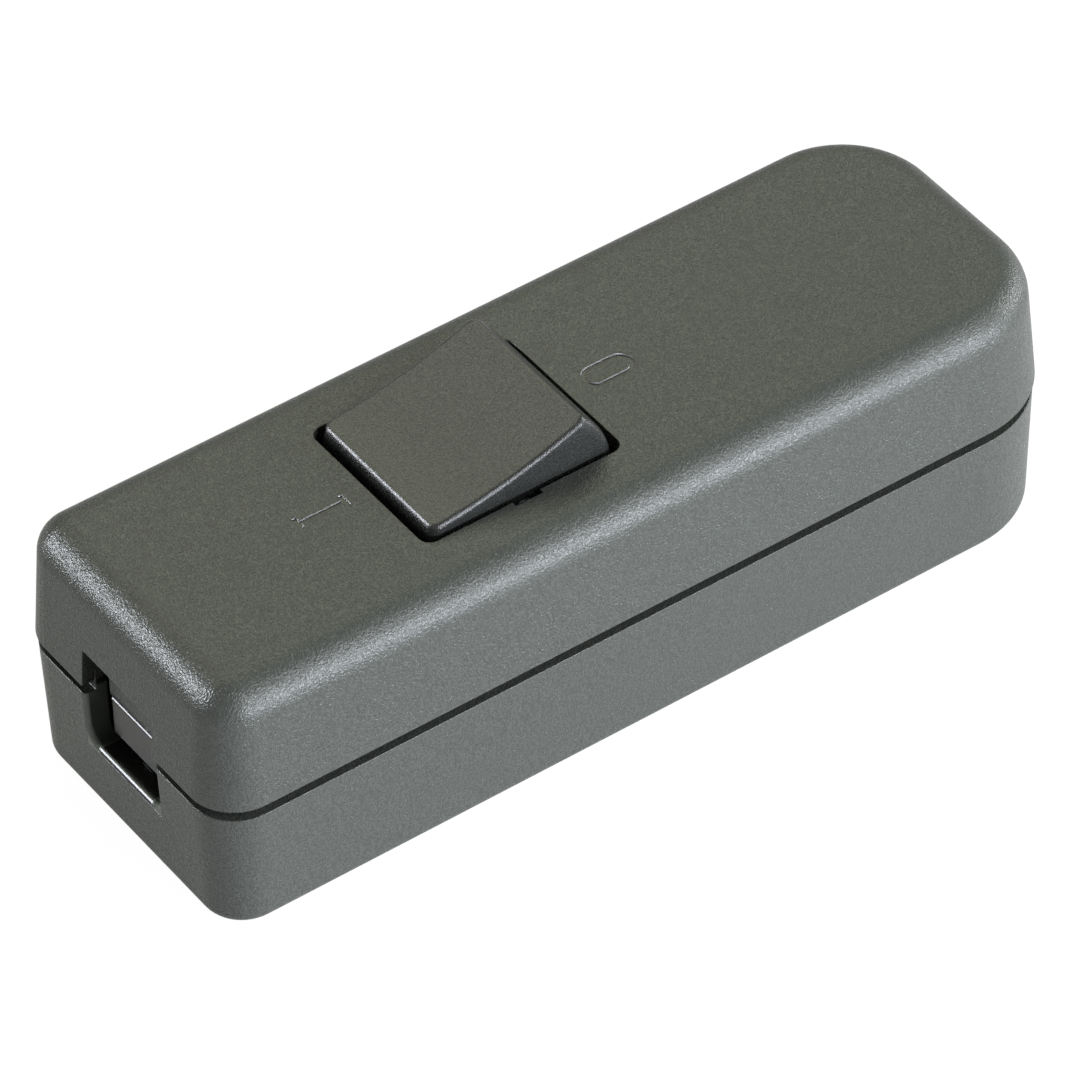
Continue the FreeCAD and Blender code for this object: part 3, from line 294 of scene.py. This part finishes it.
    def between(self, place: Value, low: float, high: float, soft: float = 0.02 * MM) -> Value:
        """A band along one axis.

        Args:
            place: the axis, in metres.
            low: where the band begins.
            high: where it ends.
            soft: half the width of its borders.

        Returns:
            1 in the band, 0 outside it.
        """
        return place.rising(low - soft, low + soft) * self.below(place, high, soft)

    def relief(self, height: Value, depth: float, strength: float,
               under: bpy.types.NodeSocket) -> bpy.types.NodeSocket:
        """Raise the surface by a height.

        Args:
            height: the height, from 0 to 1.
            depth: how deep 1 is, in metres.
            strength: how much of it shows.
            under: the normal that it is laid over.

        Returns:
            The raised normal.
        """
        sockets = {"Height": height, "Distance": depth, "Strength": strength, "Normal": under}
        return self.output(self.node("ShaderNodeBump", None, sockets))

    def finish(self, sockets: Mapping[str | int, object]) -> bpy.types.Material:
        """Close the material with its shader.

        Args:
            sockets: what the shader's inputs take.

        Returns:
            The material.
        """
        shader = self.node("ShaderNodeBsdfPrincipled", None, sockets)
        self.node("ShaderNodeOutputMaterial", None, {"Surface": self.output(shader)})
        return self.material


@dataclass(frozen=True)
class Region:
    """A box on the housing and its twin on the other side of a middle.

    Attributes:
        middle: the X of the middle, in metres.
        along: how near to it and how far from it the box reaches along X.
        across: half the width of the box along Y.
        level: its lowest and highest Z.
    """

    middle: float
    along: Span
    across: float
    level: Span

    def mask(self, recipe: Recipe) -> Value:
        """1 inside both boxes, otherwise 0."""
        along, across, level = (recipe.axis(name) for name in "XYZ")
        inside = recipe.below(abs(across), self.across) * recipe.between(level, *self.level)
        return inside * recipe.between(abs(along - self.middle), *self.along)


GROOVE = (11.42 * MM, 12.38 * MM)  # lowest and highest Z of the parting groove
BESIDE_TAB = (3.4 * MM, 6.0 * MM)  # Y of the entries' side walls, on either side of the tabs
ENTRIES = Region(0.0, (36.0 * MM, 41.0 * MM), 5.0 * MM, (6.2 * MM, 11.8 * MM))
MARKS = Region(-7.9 * MM, (10.0 * MM, 17.0 * MM), 1.6 * MM, (22.90 * MM, 23.08 * MM))


@dataclass
class Skin:
    """A plastic's surface while it is worked out.

    Attributes:
        tone: its colour.
        rough: its roughness.
        lift: its height, from 0 to 1.
        worn_and_highlit: 1 on its sharp edges, which are worn smoother and lighter, the lightening partly a
            painted highlight, 0 away from them.
        rounded: its normal with the sharp edges rounded.
    """

    tone: bpy.types.NodeSocket
    rough: Value
    lift: Value
    worn_and_highlit: Value
    rounded: bpy.types.NodeSocket


@dataclass(frozen=True)
class EtchedPlastic:
    """Moulded plastic with the fine grain of an eroded mould.

    Attributes:
        name: the material's name.
        colour: colour of the plastic.
        roughness: roughness between the grains.
        grain: size of the grains, in metres.
        depth: depth of the grain, in metres.
        edge: radius of its sharpest edges, in metres.
        speckle: how much lighter its peaks are than its colour.
        polish: how much smoother its sharp edges are worn.
        rub_and_highlight: how much lighter its sharp edges are painted, partly as wear and partly as a
            painted highlight.
        level: how strongly it mirrors, 0.5 for most plastics.
        housing: whether it gives the housing's groove painted shade, its entries smoothing with painted
            light and shade, and its marks painted shade and highlight.
    """

    FINE_SIZE: ClassVar[float] = 0.5
    FINE_SHARE: ClassVar[float] = 0.45
    FINE_RISE: ClassVar[Span] = (0.3, 0.6)
    PEAKS: ClassVar[Span] = (0.38, 0.64)
    PEAK_SHINE: ClassVar[float] = 0.14
    RUB_AND_HIGHLIGHT_EVEN: ClassVar[float] = 0.5
    RUB_FLAT: ClassVar[float] = 0.5
    FLOW_SIZE: ClassVar[float] = 22.0 * MM
    FLOW_STRETCH: ClassVar[Point] = (2.5, 1.0, 1.0)
    FLOW_RISE: ClassVar[Span] = (0.3, 0.7)
    FLOW_TINT: ClassVar[float] = 0.35
    FLOW_ROUGH: ClassVar[float] = 0.06
    # colour factor of the painted shade in the parting groove
    GROOVE_PAINTED_SHADE: ClassVar[float] = 0.03
    GROOVE_ROUGH: ClassVar[float] = 0.08
    SPECK_SIZE: ClassVar[float] = 0.42 * MM
    SPECK_RISE: ClassVar[Span] = (0.76, 0.79)
    SPECK_COLOUR: ClassVar[Colour] = (0.22, 0.23, 0.21)
    # colour factors of the painted shade on the entries' tabs and of the painted light on their side walls
    TAB_PAINTED_SHADE: ClassVar[float] = 0.30
    WALL_PAINTED_LIGHT: ClassVar[float] = 2.0
    ENTRY_SHINE: ClassVar[float] = 0.10
    ENTRY_SMOOTH: ClassVar[float] = 0.85
    # colour of the painted shade on the marks' floors and of the painted highlight on their walls
    MARK_PAINTED_SHADE: ClassVar[float] = 0.35
    MARK_WALL_PAINTED_HIGHLIGHT: ClassVar[Colour] = (0.62, 0.63, 0.61)
    MARK_SHINE: ClassVar[float] = 0.08

    name: str
    colour: Colour
    roughness: float
    grain: float
    depth: float
    edge: float
    speckle: float
    polish: float = 0.14
    rub_and_highlight: float = 1.5
    level: float = 0.5
    housing: bool = False

    def material(self) -> bpy.types.Material:
        """Make the material."""
        recipe = Recipe(self.name)
        skin = self._etch(recipe)
        if self.housing:
            entries = ENTRIES.mask(recipe)
            self._paint_groove_shade(recipe, skin, entries)
            self._smooth_entries_with_painted_light(recipe, skin, entries)
            self._paint_mark_light_and_shade(recipe, skin)
        normal = recipe.relief(skin.lift, self.depth, 1.0, skin.rounded)
        return recipe.finish({"Base Color": skin.tone, "Roughness": skin.rough, "Normal": normal,
                              "Specular IOR Level": self.level})

    def _shade(self, factor: float) -> Colour:
        """The plastic's colour times a factor."""
        red, green, blue = self.colour
        return red * factor, green * factor, blue * factor

    def _etch(self, recipe: Recipe) -> Skin:
        """Make the surface with its grain and its worn edges, lightened partly as wear and partly as a
        painted highlight.

        Args:
            recipe: the material.

        Returns:
            The surface.
        """
        fine = recipe.noise(self.grain * self.FINE_SIZE, detail=1.0, roughness=0.6)
        coarse = recipe.noise(self.grain, detail=1.0, roughness=0.5)
        flow = recipe.noise(self.FLOW_SIZE, detail=2.0, stretch=self.FLOW_STRETCH)
        rounded = recipe.rounded(self.edge)
        worn_and_highlit = recipe.edges(rounded)
        height = fine * self.FINE_SHARE + coarse * (1.0 - self.FINE_SHARE)
        peaks = height.rising(*self.PEAKS)
        tone = recipe.blend(peaks, self._shade(1.0 - self.speckle), self._shade(1.0 + self.speckle))
        tone = recipe.blend(flow.rising(*self.FLOW_RISE) * self.FLOW_TINT, tone, self.colour)
        # painted highlight: the sharp edges are lightened in colour, partly as wear and partly standing in
        # for the bright lines of light on them
        rubbed_and_highlit = worn_and_highlit * (fine.rising(*self.FINE_RISE) * (1.0 - self.RUB_AND_HIGHLIGHT_EVEN) + self.RUB_AND_HIGHLIGHT_EVEN)
        tone = recipe.blend(rubbed_and_highlit, tone, self._shade(self.rub_and_highlight))
        rough = self.roughness + (MEAN - peaks) * self.PEAK_SHINE + (flow - MEAN) * self.FLOW_ROUGH
        rough = rough - worn_and_highlit * self.polish
        return Skin(tone, rough, height * (1.0 - worn_and_highlit * self.RUB_FLAT), worn_and_highlit, rounded)

    def _paint_groove_shade(self, recipe: Recipe, skin: Skin, entries: Value) -> None:
        """Darken the groove with painted shade, and add specks of dust.

        Args:
            recipe: the material.
            skin: the surface so far.
            entries: 1 inside the cord entries, where there is no groove.
        """
        # painted shade: the groove's colour is darkened where shade falls in it
        shade = recipe.between(recipe.axis("Z"), *GROOVE) * (1.0 - entries)
        skin.tone = recipe.blend(shade, skin.tone, self._shade(self.GROOVE_PAINTED_SHADE))
        skin.rough = skin.rough + shade * self.GROOVE_ROUGH
        specks = recipe.noise(self.SPECK_SIZE, detail=0.0).rising(*self.SPECK_RISE) * shade
        skin.tone = recipe.blend(specks, skin.tone, self.SPECK_COLOUR)

    def _smooth_entries_with_painted_light(self, recipe: Recipe, skin: Skin, entries: Value) -> None:
        """Make the cord entries smooth, with painted shade darkening the tabs in them and painted light
        brightening their side walls.

        Args:
            recipe: the material.
            skin: the surface so far.
            entries: 1 inside the cord entries.
        """
        # painted light and shade: the tabs are darkened and the side walls lightened in colour
        beside = recipe.between(abs(recipe.axis("Y")), *BESIDE_TAB)
        painted_light_and_shade = recipe.blend(beside, self._shade(self.TAB_PAINTED_SHADE), self._shade(self.WALL_PAINTED_LIGHT))
        skin.tone = recipe.blend(entries * (1.0 - skin.worn_and_highlit), skin.tone, painted_light_and_shade)
        skin.rough = skin.rough - entries * self.ENTRY_SHINE
        skin.lift = skin.lift * (1.0 - entries * self.ENTRY_SMOOTH)

    def _paint_mark_light_and_shade(self, recipe: Recipe, skin: Skin) -> None:
        """Give the engraved marks floors darkened with painted shade and walls lightened with a painted
        highlight.

        Args:
            recipe: the material.
            skin: the surface so far.
        """
        cut = MARKS.mask(recipe)
        # painted shade on the marks' floors and a painted highlight on their upright walls
        skin.tone = recipe.blend(cut, skin.tone, self._shade(self.MARK_PAINTED_SHADE))
        skin.tone = recipe.blend(cut * recipe.upright(skin.rounded), skin.tone, self.MARK_WALL_PAINTED_HIGHLIGHT)
        skin.rough = skin.rough - cut * self.MARK_SHINE
        skin.lift = skin.lift * (1.0 - cut)


@dataclass(frozen=True)
class SmoothPlastic:
    """Moulded plastic from a plain mould, with faint flow marks.

    Attributes:
        name: the material's name.
        colour: colour of the plastic.
        roughness: roughness of its surface.
    """

    FLOW_SIZE: ClassVar[float] = 1.6 * MM
    FLOW_STRETCH: ClassVar[Point] = (1.0, 1.0, 2.2)
    FLOW_RISE: ClassVar[Span] = (0.3, 0.75)
    FLOW_SHADE: ClassVar[float] = 0.9
    FLOW_ROUGH: ClassVar[float] = 0.12
    FLOW_SHARE: ClassVar[float] = 0.4
    SKIN_SIZE: ClassVar[float] = 0.12 * MM
    SKIN_DEPTH: ClassVar[float] = 0.006 * MM
    SKIN_STRENGTH: ClassVar[float] = 0.6
    EDGE: ClassVar[float] = 0.08 * MM

    name: str
    colour: Colour
    roughness: float

    def material(self) -> bpy.types.Material:
        """Make the material."""
        recipe = Recipe(self.name)
        flow = recipe.noise(self.FLOW_SIZE, detail=3.0, stretch=self.FLOW_STRETCH)
        skin = recipe.noise(self.SKIN_SIZE, detail=2.0)
        darker = tuple(part * self.FLOW_SHADE for part in self.colour)
        tone = recipe.blend(flow.rising(*self.FLOW_RISE), darker, self.colour)
        rough = self.roughness + (flow - MEAN) * self.FLOW_ROUGH
        height = skin * (1.0 - self.FLOW_SHARE) + flow * self.FLOW_SHARE
        normal = recipe.relief(height, self.SKIN_DEPTH, self.SKIN_STRENGTH, recipe.rounded(self.EDGE))
        return recipe.finish({"Base Color": tone, "Roughness": rough, "Normal": normal})


class Grain(Enum):
    """How a metal surface was worked: how much longer its marks are along X, Y and Z."""

    STAMPED = (1.0, 1.0, 1.0)
    TURNED = (1.0, 1.0, 0.08)


@dataclass(frozen=True)
class Metal:
    """A metal with tool marks and a little tarnish.

    Attributes:
        name: the material's name.
        colour: colour of the clean metal.
        dull: colour where it is tarnished.
        roughness: roughness of the clean metal.
        grain: how it was worked.
        tarnish: how much of it is tarnished, from 0 to 1.
    """

    MARK_SIZE: ClassVar[float] = 0.09 * MM
    MARK_DEPTH: ClassVar[float] = 0.008 * MM
    MARK_STRENGTH: ClassVar[float] = 0.7
    MARK_ROUGH: ClassVar[float] = 0.22
    STAIN_SIZE: ClassVar[float] = 1.3 * MM
    STAIN_RISE: ClassVar[Span] = (0.42, 0.8)
    STAIN_ROUGH: ClassVar[float] = 0.25
    EDGE: ClassVar[float] = 0.05 * MM

    name: str
    colour: Colour
    dull: Colour
    roughness: float
    grain: Grain
    tarnish: float

    def material(self) -> bpy.types.Material:
        """Make the material."""
        recipe = Recipe(self.name)
        marks = recipe.noise(self.MARK_SIZE, detail=4.0, roughness=0.6, stretch=self.grain.value)
        stain = recipe.noise(self.STAIN_SIZE, detail=4.0, roughness=0.6)
        amount = stain.rising(*self.STAIN_RISE) * self.tarnish
        tone = recipe.blend(amount, self.colour, self.dull)
        rough = self.roughness + (marks - MEAN) * self.MARK_ROUGH + amount * self.STAIN_ROUGH
        normal = recipe.relief(marks, self.MARK_DEPTH, self.MARK_STRENGTH, recipe.rounded(self.EDGE))
        return recipe.finish({"Base Color": tone, "Metallic": 1.0, "Roughness": rough, "Normal": normal})


BLACK_HOUSING = EtchedPlastic(
    "black_eroded_plastic", (0.045, 0.051, 0.041), 0.29,
    grain=0.25 * MM, depth=0.084 * MM, edge=0.13 * MM, speckle=0.24, housing=True)
# the rocker's edges are lightened five times in colour, partly as wear and partly as a painted highlight
BLACK_ROCKER = EtchedPlastic(
    "black_satin_plastic", (0.012, 0.0135, 0.0115), 0.26,
    grain=0.22 * MM, depth=0.040 * MM, edge=0.30 * MM, speckle=0.30, rub_and_highlight=5.0, level=0.63)
BLACK_CLAMP = SmoothPlastic("black_smooth_plastic", (0.055, 0.055, 0.053), 0.4)
NATURAL_NYLON = SmoothPlastic("natural_nylon", (0.74, 0.72, 0.64), 0.42)
BRASS = Metal("stamped_brass", (0.83, 0.62, 0.30), (0.42, 0.27, 0.12), 0.27, Grain.STAMPED, 0.45)
SILVER = Metal("contact_silver", (0.90, 0.88, 0.84), (0.45, 0.42, 0.36), 0.24, Grain.TURNED, 0.35)
ZINC = Metal("zinc_plated_steel", (0.68, 0.69, 0.70), (0.42, 0.42, 0.38), 0.30, Grain.TURNED, 0.30)
SPRING_WIRE = Metal("spring_wire", (0.62, 0.61, 0.60), (0.30, 0.28, 0.26), 0.28, Grain.STAMPED, 0.25)


class Dressing:
    """Gives every CAD node the finish of its material slot."""

    FINISHES: ClassVar[Mapping[str, EtchedPlastic | SmoothPlastic | Metal]] = {
        "housing_plastic": BLACK_HOUSING,
        "rocker_plastic": BLACK_ROCKER,
        "clamp_plastic": BLACK_CLAMP,
        "plunger_nylon": NATURAL_NYLON,
        "terminal_brass": BRASS,
        "contact_silver": SILVER,
        "screw_steel": ZINC,
        "spring_steel": SPRING_WIRE,
    }

    def __init__(self, frame: Mapping[str, object]) -> None:
        """Make the materials.

        Args:
            frame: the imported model.
        """
        self.nodes = frame["nodes"]
        self.slots = {part["node"]: part["material_slot"] for part in frame["record"]["subparts"]}
        self.materials = {slot: finish.material() for slot, finish in self.FINISHES.items()}

    def dress(self) -> None:
        """Put each node's finish in its material slots."""
        for name, node in self.nodes.items():
            node.data.materials.clear()
            node.data.materials.append(self.materials[self.slots[name]])
            LOG.info("%s is dressed as %s", name, self.slots[name])


class CoilSprings:
    """Copies of the packed springs, which take their places."""

    def __init__(self, frame: Mapping[str, object], dressing: Dressing) -> None:
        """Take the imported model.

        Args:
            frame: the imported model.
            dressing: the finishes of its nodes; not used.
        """
        self.nodes = frame["nodes"]
        self.joints = frame["record"]["behaviour"]["joints"]
        self.dressing = dressing

    def fit(self) -> None:
        """Put a copy of each packed spring in its place."""
        for joint in self.joints:
            for row in joint.get("deforming_nodes", ()):
                self._fit_one(row["node"], joint)

    def _fit_one(self, name: str, joint: Mapping[str, object]) -> None:
        """Put one spring in.

        Args:
            name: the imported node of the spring.
            joint: the slide that shortens it.
        """
        mesh = self.nodes[name].data.copy()
        spring = bpy.data.objects.new(f"{name}_coil", mesh)
        bpy.context.scene.collection.objects.link(spring)
        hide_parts(name)
        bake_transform(spring)
        LOG.info("%s shortens with %s", name, joint["name"])


class Lights(Enum):
    """What a lamp lights: everything, only the shine, or only the matte part."""

    ALL = "all"
    SHINE = "shine"
    MATTE = "matte"


@dataclass(frozen=True)
class Softbox:
    """One soft lamp.

    Attributes:
        name: its name.
        direction: from the object towards the lamp.
        distance: from the object's middle, in metres.
        size: width and height, in metres.
        watts: its power.
        colour: its colour.
        target: the point that it faces.
        lights: what it lights.
    """

    name: str
    direction: Point
    distance: float
    size: Span
    watts: float
    colour: Colour = (1.0, 1.0, 1.0)
    target: Point = (0.0, 0.0, 0.011)
    lights: Lights = Lights.ALL

    def hang(self) -> bpy.types.Object:
        """Hang the lamp."""
        light = bpy.data.lights.new(self.name, "AREA")
        light.shape = "RECTANGLE"
        light.size, light.size_y = self.size
        light.energy = self.watts
        light.color = self.colour
        lamp = bpy.data.objects.new(self.name, light)
        towards = Vector(self.direction).normalized()
        lamp.location = Vector(self.target) + towards * self.distance
        lamp.rotation_euler = towards.to_track_quat("Z", "Y").to_euler()
        lamp.visible_diffuse = self.lights is not Lights.SHINE
        lamp.visible_glossy = self.lights is not Lights.MATTE
        bpy.context.scene.collection.objects.link(lamp)
        return lamp


LAMPS = (
    Softbox("low_front", (0.35, -0.93, 0.08), 0.50, (0.40, 0.10), 2.8,
            (0.86, 0.90, 1.0), lights=Lights.SHINE),
    Softbox("front_fill", (0.35, -0.93, 0.07), 0.60, (0.60, 0.10), 12.2,
            (0.84, 0.82, 1.0), lights=Lights.MATTE),
    Softbox("end_fill", (-0.84, 0.50, 0.10), 0.60, (0.30, 0.10), 1.6,
            (0.96, 0.98, 1.0), lights=Lights.MATTE),
    Softbox("right_front", (0.80, -0.55, 0.30), 0.75, (0.50, 0.50), 1.1,
            (0.93, 0.98, 1.0)),
    Softbox("back_high", (-0.13, 0.60, 0.79), 0.75, (0.35, 0.35), 0.8,
            (0.99, 1.0, 0.78)),
    Softbox("back_left", (-0.69, 0.60, 0.40), 0.60, (0.19, 0.32), 4.8,
            (0.90, 0.94, 1.0), target=(-0.034, 0.0, 0.020), lights=Lights.SHINE),
    Softbox("back_right", (0.42, 0.60, 0.68), 0.70, (0.40, 0.40), 0.97,
            (0.97, 1.0, 0.75)),
    Softbox("near_front", (0.28, -0.76, 0.58), 0.36, (0.10, 0.14), 0.50,
            (0.94, 0.95, 1.0), target=(-0.036, -0.012, 0.020)),
    Softbox("far_corner", (0.97, -0.08, 0.18), 0.50, (0.14, 0.14), 0.90,
            (0.95, 0.98, 1.0), target=(0.036, -0.008, 0.018)),
)


@dataclass(frozen=True)
class Studio:
    """The white table, the white surroundings, the lamps and the camera.

    Attributes:
        eye: the camera's place, in metres.
        turn: the camera's turn about X, Y and Z, in degrees.
        lens: focal length, in mm.
        sensor: width of the sensor, in mm.
        sight: nearest and farthest that the camera sees, in metres.
        table_reach: half the table's width, in metres.
        table_drop: how far the table is below the object, in metres.
        table_white: the table's own colour.
        show_through: how much of the table's white is plain background.
        glow: strength of the table's plain background.
        surround: strength of the surroundings on matte surfaces.
        lamps: the lamps.
    """

    eye: Point = (-0.259905, -0.379975, 0.442607)
    turn: Point = (46.690530, 1.353250, -35.445370)
    lens: float = 278.4422
    sensor: float = 36.0
    sight: Span = (0.02, 50.0)
    table_reach: float = 4.0
    table_drop: float = 0.05 * MM
    table_white: float = 0.6
    show_through: float = 0.86
    glow: float = 1.13
    surround: float = 0.06
    lamps: Sequence[Softbox] = LAMPS

    def build(self) -> None:
        """Set up everything round the object."""
        scene = bpy.context.scene
        scene.view_settings.view_transform = "Standard"
        self._lay_table()
        self._light_surroundings()
        for lamp in self.lamps:
            lamp.hang()
        self._aim_camera()

    def _lay_table(self) -> None:
        """Lay the white table under the object."""
        mesh = bpy.data.meshes.new("table")
        shape = bmesh.new()
        bmesh.ops.create_grid(shape, x_segments=1, y_segments=1, size=self.table_reach)
        bmesh.ops.translate(shape, vec=(0.0, 0.0, -self.table_drop), verts=shape.verts)
        shape.to_mesh(mesh)
        shape.free()
        table = bpy.data.objects.new("table", mesh)
        bpy.context.scene.collection.objects.link(table)
        recipe = Recipe("white_table")
        white = (self.table_white,) * 3
        matte = recipe.node("ShaderNodeBsdfDiffuse", None, {"Color": white})
        plain = recipe.node("ShaderNodeEmission", None, {"Color": (1.0, 1.0, 1.0), "Strength": self.glow})
        seen = self._seen(recipe) * self.show_through
        sockets = {0: seen, 1: recipe.output(matte), 2: recipe.output(plain)}
        mixed = recipe.node("ShaderNodeMixShader", None, sockets)
        recipe.node("ShaderNodeOutputMaterial", None, {"Surface": recipe.output(mixed)})
        mesh.materials.append(recipe.material)

    @staticmethod
    def _seen(recipe: Recipe) -> Value:
        """How much of the white the camera, a mirror or glass sees, otherwise 0."""
        path = recipe.node("ShaderNodeLightPath")
        names = ("Is Camera Ray", "Is Glossy Ray", "Is Transmission Ray")
        camera, glossy, transmission = (Value(recipe, path.outputs[name]) for name in names)
        return camera.highest(glossy * MIRRORED).highest(transmission)

    def _light_surroundings(self) -> None:
        """Make the world white to look at and softer as a light."""
        world = bpy.data.worlds.new("white_surroundings")
        bpy.context.scene.world = world
        world.use_nodes = True
        tree = world.node_tree
        tree.nodes.clear()
        path = tree.nodes.new("ShaderNodeLightPath")
        seen = path.outputs["Is Camera Ray"]
        for name, weight in (("Is Glossy Ray", MIRRORED), ("Is Transmission Ray", 1.0)):
            either = tree.nodes.new("ShaderNodeMath")
            either.operation = "MULTIPLY_ADD"
            tree.links.new(path.outputs[name], either.inputs[0])
            either.inputs[1].default_value = weight
            tree.links.new(seen, either.inputs[2])
            seen = either.outputs[0]
        strength = tree.nodes.new("ShaderNodeMapRange")
        strength.inputs["To Min"].default_value = self.surround
        strength.inputs["To Max"].default_value = 1.0
        tree.links.new(seen, strength.inputs["Value"])
        background = tree.nodes.new("ShaderNodeBackground")
        background.inputs["Color"].default_value = (1.0, 1.0, 1.0, 1.0)
        tree.links.new(strength.outputs[0], background.inputs["Strength"])
        output = tree.nodes.new("ShaderNodeOutputWorld")
        tree.links.new(background.outputs[0], output.inputs["Surface"])

    def _aim_camera(self) -> None:
        """Put the camera where the photograph was taken from."""
        camera = bpy.data.cameras.new("camera")
        camera.sensor_width = self.sensor
        camera.lens = self.lens
        camera.clip_start, camera.clip_end = self.sight
        holder = bpy.data.objects.new("camera", camera)
        holder.location = self.eye
        holder.rotation_euler = Euler([math.radians(angle) for angle in self.turn], "XYZ")
        bpy.context.scene.collection.objects.link(holder)
        bpy.context.scene.camera = holder


def main() -> None:
    """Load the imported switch, dress it and set up the studio."""
    logging.basicConfig(level=logging.INFO, format="%(message)s")
    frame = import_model()
    dressing = Dressing(frame)
    dressing.dress()
    CoilSprings(frame, dressing).fit()
    Studio().build()


if __name__ == "__main__":
    main()
